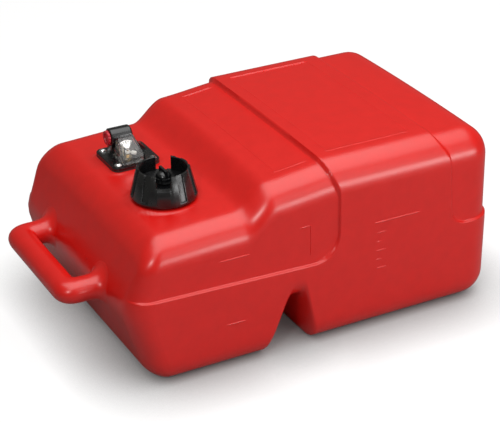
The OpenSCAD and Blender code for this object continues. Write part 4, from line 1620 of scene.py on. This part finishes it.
@dataclass
class Studio:
    """Camera, floor, lamps and world."""

    # the fitted view: eye in millimetres, angles in degrees, lens in millimetres
    eye: Point = (-849.1, -1648.6, 1081.9)
    azimuth: float = -27.78
    elevation: float = 27.69
    roll: float = -0.44
    lens: float = 121.13
    # light levels
    world_level: float = 0.125
    world_tint: Colour = (1.0, 0.97, 0.84)
    glossy_share: float = 0.06
    floor_lit: float = 0.32
    floor_pale: float = 0.25
    floor_glow: float = 0.85
    # the floor, in metres, and the painted contact shadow: a soft dark line where the tank stands on it
    floor_half: float = 9.0
    floor_z: float = -0.0004
    painted_shadow_reach: float = 0.09
    painted_shadow_power: float = 1.5

    def camera(self) -> None:
        """Make the camera from the fitted view."""
        a, e, r = (math.radians(v) for v in (self.azimuth, self.elevation, self.roll))
        back = Vector((math.sin(a) * math.cos(e), -math.cos(a) * math.cos(e), math.sin(e)))
        right = (-back).cross(Vector((0, 0, 1))).normalized()
        up = right.cross(-back)
        turned_right = math.cos(r) * right + math.sin(r) * up
        turned_up = -math.sin(r) * right + math.cos(r) * up
        data = bpy.data.cameras.new("camera")
        data.sensor_width = 36.0
        data.lens = self.lens
        data.clip_start, data.clip_end = 0.05, 50.0
        camera = bpy.data.objects.new("camera", data)
        bpy.context.scene.collection.objects.link(camera)
        pose = Matrix((turned_right, turned_up, back)).transposed().to_4x4()
        pose.translation = Vector(self.eye) * MM
        camera.matrix_world = pose
        bpy.context.scene.camera = camera

    def floor(self) -> None:
        """Make the pale floor, which shows white to the camera, keeps the shadow and has a painted contact
        shadow round the tank.
        """
        half, z = self.floor_half, self.floor_z
        mesh = bpy.data.meshes.new("floor")
        mesh.from_pydata([(-half, -half, z), (half, -half, z), (half, half, z), (-half, half, z)],
                         [], [(0, 1, 2, 3)])
        floor = bpy.data.objects.new("floor", mesh)
        bpy.context.scene.collection.objects.link(floor)
        sheet = MaterialSheet("floor_white")
        sheet.finish(colour=grey(self.floor_lit), roughness=0.9, specular=0.0)
        pale = sheet.node("ShaderNodeBsdfDiffuse", None, {"Color": grey(self.floor_pale)})
        # ambient occlusion darkens the floor's glow near the tank: a painted contact shadow
        painted_shadow_ao = sheet.node("ShaderNodeAmbientOcclusion", {"samples": 8},
                              {"Distance": self.painted_shadow_reach}, "AO")
        glow_with_painted_shadow = sheet.blend(painted_shadow_ao ** self.painted_shadow_power, grey(0.0), grey(self.floor_glow))
        lit = sheet.node("ShaderNodeEmission", None, {"Color": glow_with_painted_shadow, "Strength": 1.0})
        shown = sheet.node("ShaderNodeAddShader", None, {0: pale, 1: lit})
        sheet.show(sheet.mix(sheet.seen(), sheet.shader, shown))
        mesh.materials.append(sheet.material)

    def world(self) -> None:
        """Make the world: white where it is seen, and a soft warm light otherwise."""
        world = bpy.data.worlds.new("studio")
        world.use_nodes = True
        sheet = Sheet(world.node_tree, "ShaderNodeOutputWorld")
        lit = sheet.node("ShaderNodeBackground", None,
                         {"Color": self.world_tint, "Strength": self.world_level})
        white = sheet.node("ShaderNodeBackground", None, {"Color": grey(1.0), "Strength": 1.0})
        sheet.show(sheet.mix(sheet.seen() + sheet.ray("Glossy") * self.glossy_share, lit, white))
        bpy.context.scene.world = world

    def build(self) -> None:
        """Build the studio."""
        self.camera()
        self.floor()
        self.world()
        for lamp in LAMPS:
            lamp.hang()
        bpy.context.scene.view_settings.view_transform = "Standard"


def main() -> None:
    """Build the studio and each sub-assembly, and log each piece."""
    logging.basicConfig(level=logging.INFO, format="%(message)s")
    Studio().build()
    tank = TankMoulding()
    for assembly in (tank, CarryHandle(tank), RaisedLines(tank), FillerCap(), FuelFitting()):
        for piece in assembly.build():
            log.info("%s: %s, %d faces", type(assembly).__name__, piece.name, len(piece.data.polygons))


if __name__ == "__main__":
    main()
